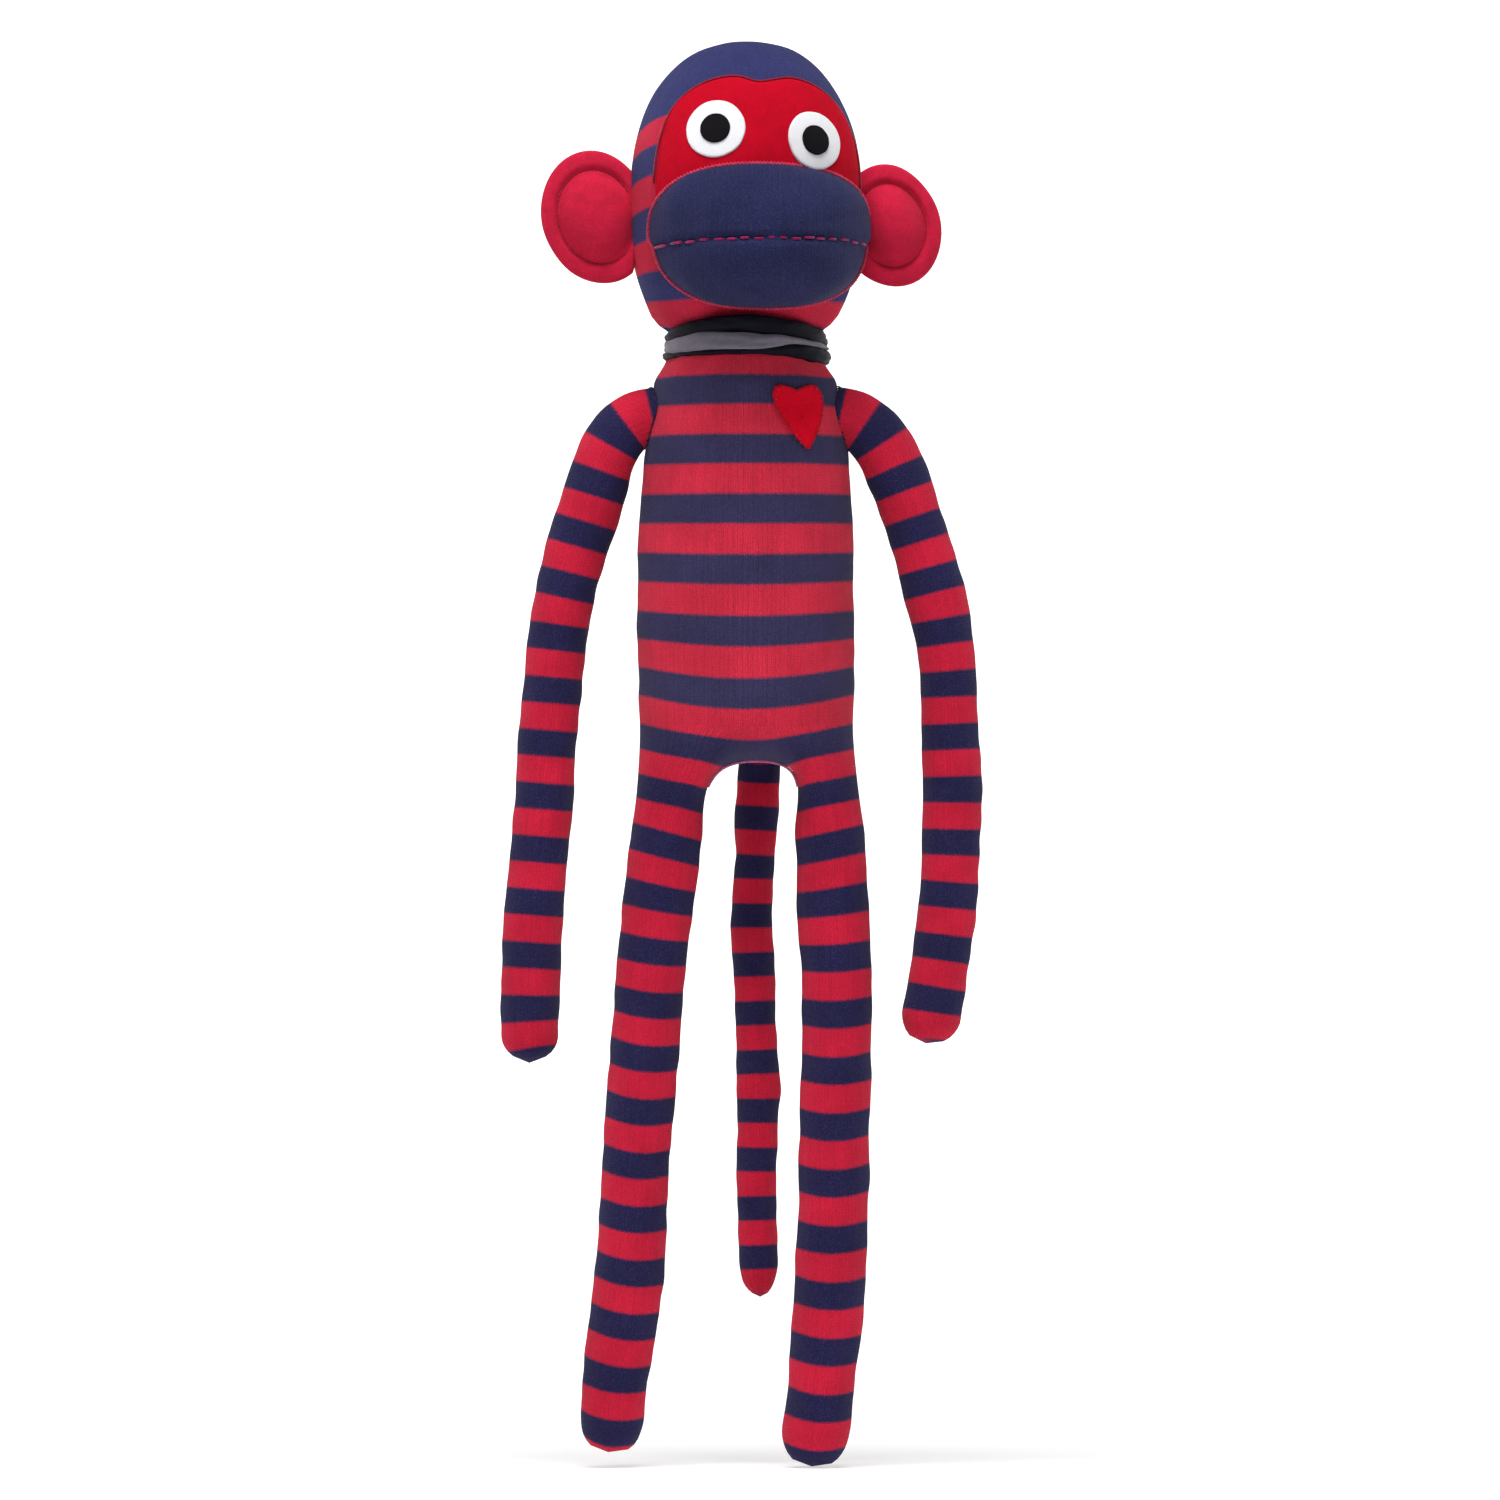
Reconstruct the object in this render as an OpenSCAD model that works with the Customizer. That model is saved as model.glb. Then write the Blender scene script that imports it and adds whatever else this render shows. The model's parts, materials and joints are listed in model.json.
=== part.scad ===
// Stuffed sock monkey: knitted, yarn-striped skins filled with fibre, felt face, eyes, ears and
// heart, a stitched-on muzzle pouch and a fabric tie wound round the neck.
// +Z is up, -Y is the face side, and +X is the monkey's own left.
// Heights in this file count up from the lowest toe; the part's origin is the middle of the neck.

/* [Body] */
// Width of the trunk
body_w = 87; // [80:1:90]
// Depth of the trunk, front to back
body_d = 66; // [60:1:72]
// Height of the crotch above the lowest toe
crotch_h = 281; // [280:1:282]
// Height of the trunk's top, under the neck tie
shoulder_h = 441; // [439:1:442]
// Thickness of the knitted fabric
knit_t = 1.2; // [1:0.1:1.6]

/* [Head] */
// Width of the head
head_w = 93; // [88:1:95]
// Depth of the head, front to back, without the muzzle
head_d = 86; // [80:1:90]
// Height of the crown above the lowest toe
crown_h = 570; // [566:1:574]
// Turn of the face about the neck
face_yaw = 6; // [0:1:10]
// Width of the muzzle pouch
muzzle_w = 89; // [84:1:90]
// Height of the muzzle pouch
muzzle_h = 57; // [52:1:60]
// How far the muzzle's front stands from the neck's axis
muzzle_reach = 68; // [62:1:72]

/* [Felt] */
// Thickness of the felt
felt_t = 1.5; // [1:0.1:2]
// Diameter of the eye whites
eye_d = 24; // [20:1:25]
// Diameter of the pupils
pupil_d = 12.2; // [10:0.1:14]
// Diameter of the right ear
ear_right_d = 53; // [48:1:54]
// Diameter of the left ear
ear_left_d = 49; // [46:1:54]
// Height of the heart patch
heart_h = 26.5; // [22:0.5:28]

/* [Limbs] */
// Diameter of the arms
arm_d = 24; // [22:0.5:24.5]
// Diameter of the legs
leg_d = 28; // [26:0.5:28.5]
// Diameter of the tail
tail_d = 17; // [15:0.5:17.5]

/* [Hidden] */
$fn = 48;

right = -1;
left = 1;
red = [0.79, 0.2, 0.27];
navy = [0.23, 0.22, 0.35];
fibre = [0.93, 0.92, 0.89];
// Space left between a skin and the filling inside it
slack = 0.2;
// Space left between pieces that move past each other
clearance = 0.8;
thread_r = 0.6;

// Neck: the head nods and turns about this point, which is also the part's origin
neck_h = 450;
neck_r = 24;
socket_r = 35.5;

// Head: an upright egg, blunter below its widest level than above it
head_mid_h = 510;
head_upper = crown_h - head_mid_h;
head_lower = 79;
head_bottom_h = 456;
muzzle_mid_h = 493;
muzzle_mid_y = -25;

// Places of the felt features on the head, as [x, height]
eye_right_at = [-15, 534.5];
eye_left_at = [22, 530];
heart_at = [21, 419];
// Point where each ear hinges on the head
ear_root_x = 49.5;
ear_right_h = 499.5;
ear_left_h = 496.5;

// Limb lines: [x, height, radius as a share of the limb's own] from the root to the tip.
// The first point is the pivot at the root, and the fourth is the elbow or knee.
arm_right_line = [[-53, 413, 0.96], [-62, 386, 1], [-74, 342, 1], [-78.6, 296, 1],
    [-83, 242, 1], [-86.5, 194, 1], [-86.5, 173, 0.98]];
arm_left_line = [[54, 413, 0.96], [64.5, 386, 0.98], [77.5, 342, 0.98], [82, 296, 0.98],
    [82, 242, 0.98], [78, 202, 0.98], [74, 181, 0.97]];
leg_right_line = [[-30.4, 266, 1], [-35, 226, 1], [-39, 184, 0.98], [-43, 140, 0.98],
    [-46.5, 82, 0.96], [-52, 38, 0.94], [-54, 18, 0.88]];
leg_left_line = [[32.4, 266, 1], [35, 226, 1], [36, 184, 1], [35.5, 140, 1],
    [34, 78, 1], [31, 42, 1], [27.5, 13.2, 0.94]];
tail_line = [[5, 270, 1], [3, 242, 1], [2.6, 210, 1], [4, 176, 1],
    [5, 146, 1], [4.5, 114, 0.98], [5.5, 76, 0.94]];
tail_y = 25;
root_i = 0;
bend_i = 3;
tip_i = 6;

// ---- Curves and lofts -------------------------------------------------------------------

// A point of the smooth curve through four points, from b at t = 0 to c at t = 1
function curve_point(a, b, c, d, t) =
    0.5 * (2 * b + (c - a) * t + (2 * a - 5 * b + 4 * c - d) * t * t
        + (3 * b - a - 3 * c + d) * t * t * t);

// The part of a limb's line from point i to point j, smoothed
function smooth_line(line, i, j, steps = 2) = concat(
    [for (k = [i:j - 1], s = [0:steps - 1])
        curve_point(line[max(k - 1, 0)], line[k], line[k + 1],
            line[min(k + 2, len(line) - 1)], s / steps)],
    [line[j]]);

function direction(a, b) = (b - a) / norm(b - a);

// Ring of points about the line's point p, across direction d in the XZ plane
function limb_ring(p, d, r, sides) = [for (i = [0:sides - 1])
    let (a = 360 * i / sides)
    [p[0] + r * cos(a) * d[1], r * sin(a), p[1] - r * cos(a) * d[0]]];

function line_xz(p) = [p[0], p[1]];

// Rings of a limb between its points i and j, with a ball at the start and, at the end,
// either a ball (the tip) or a flat end that stops short of the next pivot
function limb_rings(line, i, j, full_r, inset, sides) =
    let (pts = smooth_line(line, i, j),
        n = len(pts),
        is_tip = j == len(line) - 1,
        dirs = [for (k = [0:n - 1])
            direction(line_xz(pts[max(k - 1, 0)]), line_xz(pts[min(k + 1, n - 1)]))],
        radii = [for (p = pts) p[2] * full_r - inset],
        stop = full_r * line[j][2] + clearance + inset)
    concat(
        [for (a = [15:25:65])
            limb_ring(line_xz(pts[0]) - dirs[0] * radii[0] * cos(a), dirs[0],
                radii[0] * sin(a), sides)],
        [for (k = [0:n - 1])
            if (is_tip || norm(line_xz(pts[k]) - line_xz(line[j])) > stop + 2)
                limb_ring(line_xz(pts[k]), dirs[k], radii[k], sides)],
        is_tip
            ? [for (a = [65:-25:15])
                limb_ring(line_xz(pts[n - 1]) + dirs[n - 1] * radii[n - 1] * cos(a),
                    dirs[n - 1], radii[n - 1] * sin(a), sides)]
            : [for (back = [stop + 1, stop])
                limb_ring(line_xz(line[j]) - dirs[n - 1] * back, dirs[n - 1],
                    radii[n - 1] - (back == stop ? 1 : 0), sides)]);

// Closed solid through rings that all have the same number of points
module loft(rings) {
    sides = len(rings[0]);
    last = (len(rings) - 1) * sides;
    polyhedron(
        points = [for (r = rings) each r],
        faces = concat(
            [[for (i = [0:sides - 1]) i]],
            [for (k = [0:len(rings) - 2], i = [0:sides - 1])
                let (a = k * sides + i, b = k * sides + (i + 1) % sides)
                [b, a, a + sides]],
            [for (k = [0:len(rings) - 2], i = [0:sides - 1])
                let (a = k * sides + i, b = k * sides + (i + 1) % sides)
                [b, a + sides, b + sides]],
            [[for (i = [sides - 1:-1:0]) last + i]]));
}

limb_sides = 16;

// Knitted tube of a limb between two points of its line
module limb_skin(line, i, j, d, y = 0) {
    color(red) translate([0, y, 0]) difference() {
        loft(limb_rings(line, i, j, d / 2, 0, limb_sides));
        loft(limb_rings(line, i, j, d / 2, knit_t, limb_sides));
    }
}

// Fibre filling of a limb, around the ball at its root where it has one
module limb_stuffing(line, i, j, d, y = 0, ball_r = 0) {
    color(fibre) translate([0, y, 0]) difference() {
        loft(limb_rings(line, i, j, d / 2, knit_t + slack, limb_sides));
        if (ball_r > 0)
            translate([line[i][0], 0, line[i][1]]) sphere(ball_r + slack);
    }
}

// Firm wad of filling at a pivot
module wad(line, i, r, y = 0) {
    color(fibre) translate([line[i][0], y, line[i][1]]) sphere(r);
}

// Thread or roll of radius r along a closed or open row of points
module thread_along(points, r, closed, sides = 8) {
    n = len(points);
    rings = [for (k = [0:n - 1])
        let (
            before = points[closed ? (k + n - 1) % n : max(k - 1, 0)],
            after = points[closed ? (k + 1) % n : min(k + 1, n - 1)],
            d = (after - before) / norm(after - before),
            u = cross(d, [0, 1, 0]) / norm(cross(d, [0, 1, 0])),
            v = cross(d, u))
        [for (i = [0:sides - 1])
            points[k] + r * cos(360 * i / sides) * u + r * sin(360 * i / sides) * v]];
    if (closed)
        polyhedron(
            points = [for (ring = rings) each ring],
            faces = [for (k = [0:n - 1], i = [0:sides - 1], half = [0, 1])
                let (a = k * sides + i, b = k * sides + (i + 1) % sides,
                    c = ((k + 1) % n) * sides + i, e = ((k + 1) % n) * sides + (i + 1) % sides)
                half == 0 ? [b, a, c] : [b, c, e]]);
    else
        loft(rings);
}

// ---- Trunk --------------------------------------------------------------------------------

// Side outline of the trunk, [half width, height]: flat seat, nearly straight sides and
// sloping shoulders
torso_outline = [
    [body_w / 2 - 4, crotch_h], [body_w / 2 - 1.2, crotch_h + 1.5], [body_w / 2, crotch_h + 5],
    [body_w / 2 - 0.6, 320], [body_w / 2, 366], [body_w / 2 - 1.5, 388],
    [body_w / 2 - 2.6, 402], [body_w / 2 - 4.4, 416], [body_w / 2 - 7.2, 428],
    [body_w / 2 - 11.5, shoulder_h - 4], [neck_r + 2, shoulder_h]];

// Oval trunk, shrunk by a distance all round
module torso_solid(inset) {
    sides = 36;
    loft([for (p = torso_outline)
        [for (i = [0:sides - 1])
            [(p[0] - inset) * cos(360 * i / sides),
                (p[0] * body_d / body_w - inset) * sin(360 * i / sides),
                min(max(p[1], crotch_h + inset), shoulder_h - inset)
                    + (p[1] < crotch_h + 4 && p[1] > crotch_h ? inset : 0)
                    - (p[1] > shoulder_h - 5 && p[1] < shoulder_h ? inset : 0)]]]);
}

module torso_skin() {
    color(red) difference() {
        torso_solid(0);
        torso_solid(knit_t);
    }
}

module torso_stuffing() {
    color(fibre) torso_solid(knit_t + slack);
}

// Outline of a heart of height h, centred, with its lobes up
function heart_point(t, h) = h / 29 * [
    16 * pow(sin(t), 3) * 0.74,
    13 * cos(t) - 5 * cos(2 * t) - 2 * cos(3 * t) - cos(4 * t) + 2.5];

// Place on the chest: turned to face the way the trunk's surface faces there
module on_chest() {
    half = lookup(heart_at[1], [for (p = torso_outline) [p[1], p[0]]]);
    depth = half * body_d / body_w;
    along = asin(heart_at[0] / half);
    facing = atan2(sin(along) * depth, cos(along) * half);
    backward_lean = 8;
    translate([heart_at[0], -depth * cos(along), heart_at[1]])
        rotate([0, 0, facing])
            translate([0, -1.3, 0])
                rotate([90 - backward_lean, 8, 0])
                    children();
}

module heart_patch() {
    color([0.66, 0.03, 0.14]) on_chest()
        linear_extrude(1.2)
            polygon([for (t = [0:12:348]) heart_point(t, heart_h)]);
}

module heart_stitching() {
    count = 18;
    color([0.45, 0.05, 0.12]) on_chest()
        for (i = [0:count - 1]) {
            p = heart_point(360 * (i + 0.5) / count, heart_h * 0.86);
            translate([p[0], p[1], 1.5]) rotate([0, 0, 45]) cube([1.6, 0.5, 0.4], center = true);
        }
}

// Whip stitches that close the opening in the back
module back_seam_stitching() {
    pitch = 6;
    color(navy)
        for (i = [0:9])
            translate([-2.5, body_d / 2 + thread_r + 0.2, 330 + pitch * i])
                rotate([0, 90 - 25, 0]) cylinder(h = 5, r = thread_r, $fn = 16);
}

// Stitches that close the slit between the legs
module crotch_seam_stitching() {
    pitch = 3.2;
    color([0.55, 0.2, 0.42])
        for (i = [0:6])
            translate([-8 + pitch * i, -12, crotch_h - thread_r - 0.2])
                rotate([-90, 0, 12]) cylinder(h = 5, r = thread_r, $fn = 16);
}

// Ring of stitches round the tail's root
module tail_seam_stitching() {
    color(navy)
        translate([tail_line[0][0], tail_y, crotch_h - thread_r - 0.2])
            rotate_extrude() translate([6, 0]) circle(r = thread_r, $fn = 16);
}

// ---- Neck and tie -------------------------------------------------------------------------

module neck_outline(inset) {
    offset(delta = -inset)
        polygon(concat(
            [[-3, shoulder_h + 0.5], [neck_r, shoulder_h + 0.5], [neck_r, neck_h + 12]],
            [for (a = [42:-3:3])
                let (r = socket_r - clearance) [r * sin(a), neck_h + r * cos(a)]],
            [[-3, neck_h + socket_r - clearance]]));
}

module neck_solid(inset) {
    rotate_extrude()
        intersection() {
            neck_outline(inset);
            square([neck_r * 2, crown_h]);
        }
}

module neck_skin() {
    color(navy) difference() {
        neck_solid(0);
        neck_solid(knit_t);
    }
}

module neck_stuffing() {
    color(fibre) neck_solid(knit_t + slack);
}

// One turn of the fabric tie: a flattened roll between two heights
module tie_wrap(low, high, thick) {
    gap = 0.3;
    mid_r = neck_r + gap + thick / 2;
    round_r = min(thick, high - low) / 2 - 0.05;
    translate([0, 0, (low + high) / 2])
        rotate_extrude($fn = 64)
            translate([mid_r, 0])
                offset(r = round_r, $fn = 16)
                    square([thick - 2 * round_r, high - low - 2 * round_r], center = true);
}

module neck_tie_upper_wrap() {
    color([0.1, 0.1, 0.18]) tie_wrap(neck_h + 2.8, neck_h + 9.6, 7.4);
}

module neck_tie_grey_strip() {
    color([0.36, 0.33, 0.36]) tie_wrap(neck_h - 4.2, neck_h + 2.5, 8.2);
}

module neck_tie_lower_wrap() {
    color([0.08, 0.08, 0.14]) tie_wrap(neck_h - 8.4, neck_h - 4.5, 7.2);
}

// ---- Head ---------------------------------------------------------------------------------

function head_half(h) = let (up = h - head_mid_h, c = up > 0 ? head_upper : head_lower)
    head_w / 2 * sqrt(max(0, 1 - up * up / (c * c)));

// Half of the head above or below its widest level, grown by a distance all round
module head_half_solid(grow, height, from, to) {
    size = head_w + 4 * grow + 20;
    intersection() {
        scale([head_w / 2 + grow, head_d / 2 + grow, height + grow]) sphere(1, $fn = 64);
        translate([-size / 2, -size / 2, from]) cube([size, size, to - from]);
    }
}

// Egg of the head, grown by a distance all round, before its neck socket is cut
module head_solid(grow) {
    low = head_bottom_h - min(grow, 0) - head_mid_h;
    translate([0, 0, head_mid_h]) {
        head_half_solid(grow, head_upper, 0, head_upper + grow + 1);
        head_half_solid(grow, head_lower, low, 0);
    }
}

module neck_socket(r) {
    translate([0, 0, neck_h]) sphere(r, $fn = 64);
}

module head_skin() {
    color(navy) difference() {
        head_solid(0);
        head_solid(-knit_t);
        neck_socket(socket_r);
    }
}

module head_stuffing() {
    color(fibre) difference() {
        head_solid(-knit_t - slack);
        neck_socket(socket_r + knit_t);
    }
}

// Place on the turned face
module on_face() {
    rotate([0, 0, face_yaw]) children();
}

// Pouch of the muzzle, grown by a distance all round
module muzzle_solid(grow) {
    translate([0, muzzle_mid_y, muzzle_mid_h])
        scale([muzzle_w / 2 + grow, muzzle_reach + muzzle_mid_y + grow, muzzle_h / 2 + grow])
            sphere(1, $fn = 48);
}

// The head itself, seen from the turned face
module head_from_face(grow) {
    rotate([0, 0, -face_yaw]) head_solid(grow);
}

module muzzle_skin() {
    color(navy) on_face() difference() {
        muzzle_solid(0);
        muzzle_solid(-knit_t);
        head_from_face(0.3);
    }
}

module muzzle_stuffing() {
    color(fibre) on_face() difference() {
        muzzle_solid(-knit_t - slack);
        head_from_face(0.3);
    }
}

// Depth of the head's front at a place on the face
function face_y(x, h, off) = -(head_d / 2 + off)
    * sqrt(max(0, pow(head_half(h) / (head_w / 2), 2) - pow(x / (head_w / 2 + off), 2)));

// Overlocked edge of the muzzle, where it is sewn to the head
module muzzle_edging() {
    edge_r = 0.9;
    count = 48;
    color([0.5, 0.1, 0.3]) on_face()
        thread_along([for (i = [0:count - 1])
            let (t = 360 * i / count, x = (muzzle_w / 2 + 1) * cos(t),
                h = muzzle_mid_h + (muzzle_h / 2 + 1.4) * sin(t))
            [x, face_y(x, h, edge_r + 1), h]], edge_r, true);
}

// Stitched line of the mouth across the muzzle
module mouth_stitching() {
    count = 24;
    lift = thread_r + 0.25;
    color([0.45, 0.08, 0.25]) on_face()
        thread_along([for (i = [0:count])
            let (a = -70 + 140 * i / count, drop = 3)
            [(muzzle_w / 2 + lift) * sin(a),
                muzzle_mid_y - (muzzle_reach + muzzle_mid_y + lift) * cos(a) * 0.998,
                muzzle_mid_h - drop + 1.5 * pow(sin(a), 2)]], thread_r, false, 6);
}

// Two-lobed felt brow and cheeks; the muzzle covers its lower edge
module face_outline() {
    union() {
        translate([-19, 534]) scale([21, 22]) circle(1);
        translate([19, 532]) scale([23, 22]) circle(1);
        translate([-40, 500]) square([82, 34]);
    }
}

module face_patch() {
    color([0.76, 0.04, 0.16]) on_face() intersection() {
        difference() {
            head_from_face(felt_t + 0.3);
            head_from_face(0.3);
            translate([0, 0, muzzle_mid_h]) rotate([90, 0, 0])
                scale([muzzle_w / 2 + 2.6, muzzle_h / 2 + 3])
                    cylinder(h = head_d, r = 1, $fn = 96);
        }
        translate([0, -8, 0]) rotate([90, 0, 0]) linear_extrude(head_d) face_outline();
    }
}

eye_lift = felt_t + 1.1;

// Disc lying against the face, a distance above the first one there
module face_disc(at, d, thick, above) {
    x = at[0];
    y = face_y(x, at[1], eye_lift);
    up = at[1] - head_mid_h;
    normal = [x / pow(head_w / 2, 2), y / pow(head_d / 2, 2), up / pow(head_upper, 2)];
    turn = atan2(normal[0], -normal[1]);
    tilt = atan2(normal[2], norm([normal[0], normal[1]]));
    on_face() translate([x, y, at[1]]) rotate([0, 0, turn]) rotate([90 - tilt, 0, 0])
        translate([0, 0, above]) cylinder(h = thick, d = d);
}

module eye_white(at) {
    color([0.93, 0.93, 0.94]) face_disc(at, eye_d, 1.2, 0);
}

module pupil(at) {
    color([0.11, 0.1, 0.12]) face_disc(at, pupil_d, 1, 1.3);
}

// ---- Ears ---------------------------------------------------------------------------------

// Place in the ear: its disc's middle at the origin and its front along +Z
module at_ear(side, d, h) {
    on_face() translate([side * (ear_root_x + d / 2 - 20), 0, h]) rotate([90, 0, 0]) children();
}

// Keep only what lies outside the line where the ear is sewn to the head
module ear_cut(side, d) {
    reach = d / 2 - 20;
    difference() {
        children();
        translate([-side * (reach - 1 + d / 2), 0, 0]) cube([d, 2 * d, 40], center = true);
    }
}

// Shallow felt dish, sewn to its twin round the rim
module ear_felt(side, d, front) {
    rim_gap = 0.2;
    dome = 4.6;
    ear_cut(side, d)
        mirror([0, 0, front ? 0 : 1])
            rotate_extrude()
                polygon(concat(
                    [for (i = [0:8]) [d / 2 * i / 8, rim_gap + dome * (1 - pow(i / 8, 4)) ]],
                    [for (i = [8:-1:0])
                        [d / 2 * i / 8, rim_gap + felt_t + dome * (1 - pow(i / 8, 4))]]));
}

module ear_front(side, d, h) {
    color(red) at_ear(side, d, h) ear_felt(side, d, true);
}

module ear_back(side, d, h) {
    color(red) at_ear(side, d, h) ear_felt(side, d, false);
}

module ear_padding(side, d, h) {
    dome = 4.2;
    color(fibre) at_ear(side, d, h) ear_cut(side, d)
        rotate_extrude()
            polygon(concat(
                [for (i = [0:7]) [(d / 2 - 3) * i / 8, -dome * (1 - pow(i / 8, 4))]],
                [for (i = [7:-1:0]) [(d / 2 - 3) * i / 8, dome * (1 - pow(i / 8, 4))]]));
}

// Two rings of topstitching that follow the ear's rim
module ear_topstitching(side, d, h) {
    color([0.35, 0.04, 0.1]) at_ear(side, d, h) ear_cut(side, d)
        for (rim = [3.6, 7.5]) {
            share = (d / 2 - rim) / (d / 2);
            translate([0, 0, 4.6 * (1 - pow(share, 4)) + felt_t + 0.9])
                rotate_extrude() translate([d / 2 - rim, 0]) circle(r = 0.4, $fn = 12);
        }
}

// ---- Limb roots ---------------------------------------------------------------------------

// Ring of whip stitches that joins an arm to the trunk
module shoulder_seam(side, line) {
    color(navy) translate([side * (abs(line[0][0]) - 11.2), 0, line[0][1]])
        rotate([0, 90, 0]) rotate_extrude() translate([9, 0]) circle(r = 0.8, $fn = 16);
}

// Draws in the part's own frame, whose origin is the middle of the neck
module place() {
    translate([0, 0, -neck_h]) children();
}

place() torso_skin();
place() torso_stuffing();
place() heart_patch();
place() heart_stitching();
place() back_seam_stitching();
place() crotch_seam_stitching();
place() tail_seam_stitching();
place() neck_skin();
place() neck_stuffing();
place() neck_tie_upper_wrap();
place() neck_tie_grey_strip();
place() neck_tie_lower_wrap();
place() head_skin();
place() head_stuffing();
place() face_patch();
place() eye_white(eye_right_at);  // eye_white_right
place() eye_white(eye_left_at);  // eye_white_left
place() pupil(eye_right_at);  // pupil_right
place() pupil(eye_left_at);  // pupil_left
place() muzzle_skin();
place() muzzle_stuffing();
place() muzzle_edging();
place() mouth_stitching();
place() ear_front(right, ear_right_d, ear_right_h);  // ear_front_right
place() ear_back(right, ear_right_d, ear_right_h);  // ear_back_right
place() ear_padding(right, ear_right_d, ear_right_h);  // ear_padding_right
place() ear_topstitching(right, ear_right_d, ear_right_h);  // ear_topstitching_right
place() ear_front(left, ear_left_d, ear_left_h);  // ear_front_left
place() ear_back(left, ear_left_d, ear_left_h);  // ear_back_left
place() ear_padding(left, ear_left_d, ear_left_h);  // ear_padding_left
place() ear_topstitching(left, ear_left_d, ear_left_h);  // ear_topstitching_left
place() shoulder_seam(right, arm_right_line);  // shoulder_seam_right
place() wad(arm_right_line, root_i, 6);  // shoulder_stuffing_right
place() limb_skin(arm_right_line, root_i, bend_i, arm_d);  // upper_arm_skin_right
place() limb_stuffing(arm_right_line, root_i, bend_i, arm_d, ball_r = 6);  // upper_arm_stuffing_right
place() limb_skin(arm_right_line, bend_i, tip_i, arm_d);  // forearm_skin_right
place() limb_stuffing(arm_right_line, bend_i, tip_i, arm_d);  // forearm_stuffing_right
place() shoulder_seam(left, arm_left_line);  // shoulder_seam_left
place() wad(arm_left_line, root_i, 6);  // shoulder_stuffing_left
place() limb_skin(arm_left_line, root_i, bend_i, arm_d);  // upper_arm_skin_left
place() limb_stuffing(arm_left_line, root_i, bend_i, arm_d, ball_r = 6);  // upper_arm_stuffing_left
place() limb_skin(arm_left_line, bend_i, tip_i, arm_d);  // forearm_skin_left
place() limb_stuffing(arm_left_line, bend_i, tip_i, arm_d);  // forearm_stuffing_left
place() wad(leg_right_line, root_i, 8);  // hip_stuffing_right
place() limb_skin(leg_right_line, root_i, bend_i, leg_d);  // thigh_skin_right
place() limb_stuffing(leg_right_line, root_i, bend_i, leg_d, ball_r = 8);  // thigh_stuffing_right
place() limb_skin(leg_right_line, bend_i, tip_i, leg_d);  // shin_skin_right
place() limb_stuffing(leg_right_line, bend_i, tip_i, leg_d);  // shin_stuffing_right
place() wad(leg_left_line, root_i, 8);  // hip_stuffing_left
place() limb_skin(leg_left_line, root_i, bend_i, leg_d);  // thigh_skin_left
place() limb_stuffing(leg_left_line, root_i, bend_i, leg_d, ball_r = 8);  // thigh_stuffing_left
place() limb_skin(leg_left_line, bend_i, tip_i, leg_d);  // shin_skin_left
place() limb_stuffing(leg_left_line, bend_i, tip_i, leg_d);  // shin_stuffing_left
place() wad(tail_line, root_i, 4, tail_y);  // tail_root_stuffing
place() limb_skin(tail_line, root_i, bend_i, tail_d, tail_y);  // tail_upper_skin
place() limb_stuffing(tail_line, root_i, bend_i, tail_d, tail_y, 4);  // tail_upper_stuffing
place() limb_skin(tail_line, bend_i, tip_i, tail_d, tail_y);  // tail_lower_skin
place() limb_stuffing(tail_line, bend_i, tip_i, tail_d, tail_y);  // tail_lower_stuffing
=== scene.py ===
"""Stuffed sock monkey: the knitted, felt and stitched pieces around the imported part."""
import json
import math

import bpy
import numpy as np
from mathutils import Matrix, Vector


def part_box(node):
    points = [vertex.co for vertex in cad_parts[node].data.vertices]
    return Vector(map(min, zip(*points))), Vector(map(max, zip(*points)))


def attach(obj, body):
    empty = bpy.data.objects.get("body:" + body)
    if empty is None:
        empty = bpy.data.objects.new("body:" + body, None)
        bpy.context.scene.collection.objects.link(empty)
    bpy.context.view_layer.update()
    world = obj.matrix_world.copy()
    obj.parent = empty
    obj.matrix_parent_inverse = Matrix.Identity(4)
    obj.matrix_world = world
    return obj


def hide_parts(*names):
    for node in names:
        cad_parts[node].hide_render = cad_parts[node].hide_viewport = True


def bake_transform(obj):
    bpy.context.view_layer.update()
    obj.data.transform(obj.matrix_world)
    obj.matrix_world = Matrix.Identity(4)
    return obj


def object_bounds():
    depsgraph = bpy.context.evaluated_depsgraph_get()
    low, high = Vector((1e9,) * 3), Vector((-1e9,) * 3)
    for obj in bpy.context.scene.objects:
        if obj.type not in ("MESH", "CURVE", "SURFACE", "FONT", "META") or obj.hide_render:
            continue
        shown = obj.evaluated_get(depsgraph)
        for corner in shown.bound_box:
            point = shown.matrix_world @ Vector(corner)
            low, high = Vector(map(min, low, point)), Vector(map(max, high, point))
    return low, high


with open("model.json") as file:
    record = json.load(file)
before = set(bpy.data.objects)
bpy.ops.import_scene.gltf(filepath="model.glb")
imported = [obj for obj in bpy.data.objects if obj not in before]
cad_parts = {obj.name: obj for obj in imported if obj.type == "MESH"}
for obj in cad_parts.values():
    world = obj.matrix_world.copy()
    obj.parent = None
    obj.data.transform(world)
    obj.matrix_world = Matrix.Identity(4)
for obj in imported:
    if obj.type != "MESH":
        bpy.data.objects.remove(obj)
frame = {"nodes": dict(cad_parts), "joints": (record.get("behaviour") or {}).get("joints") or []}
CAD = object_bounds()
JOINT = {j["name"]: Vector(j["pos_m"]) for j in frame["joints"]}
MM = 0.001
TOE = CAD[0].z
SIDES = {"right": -1, "left": 1}


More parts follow.
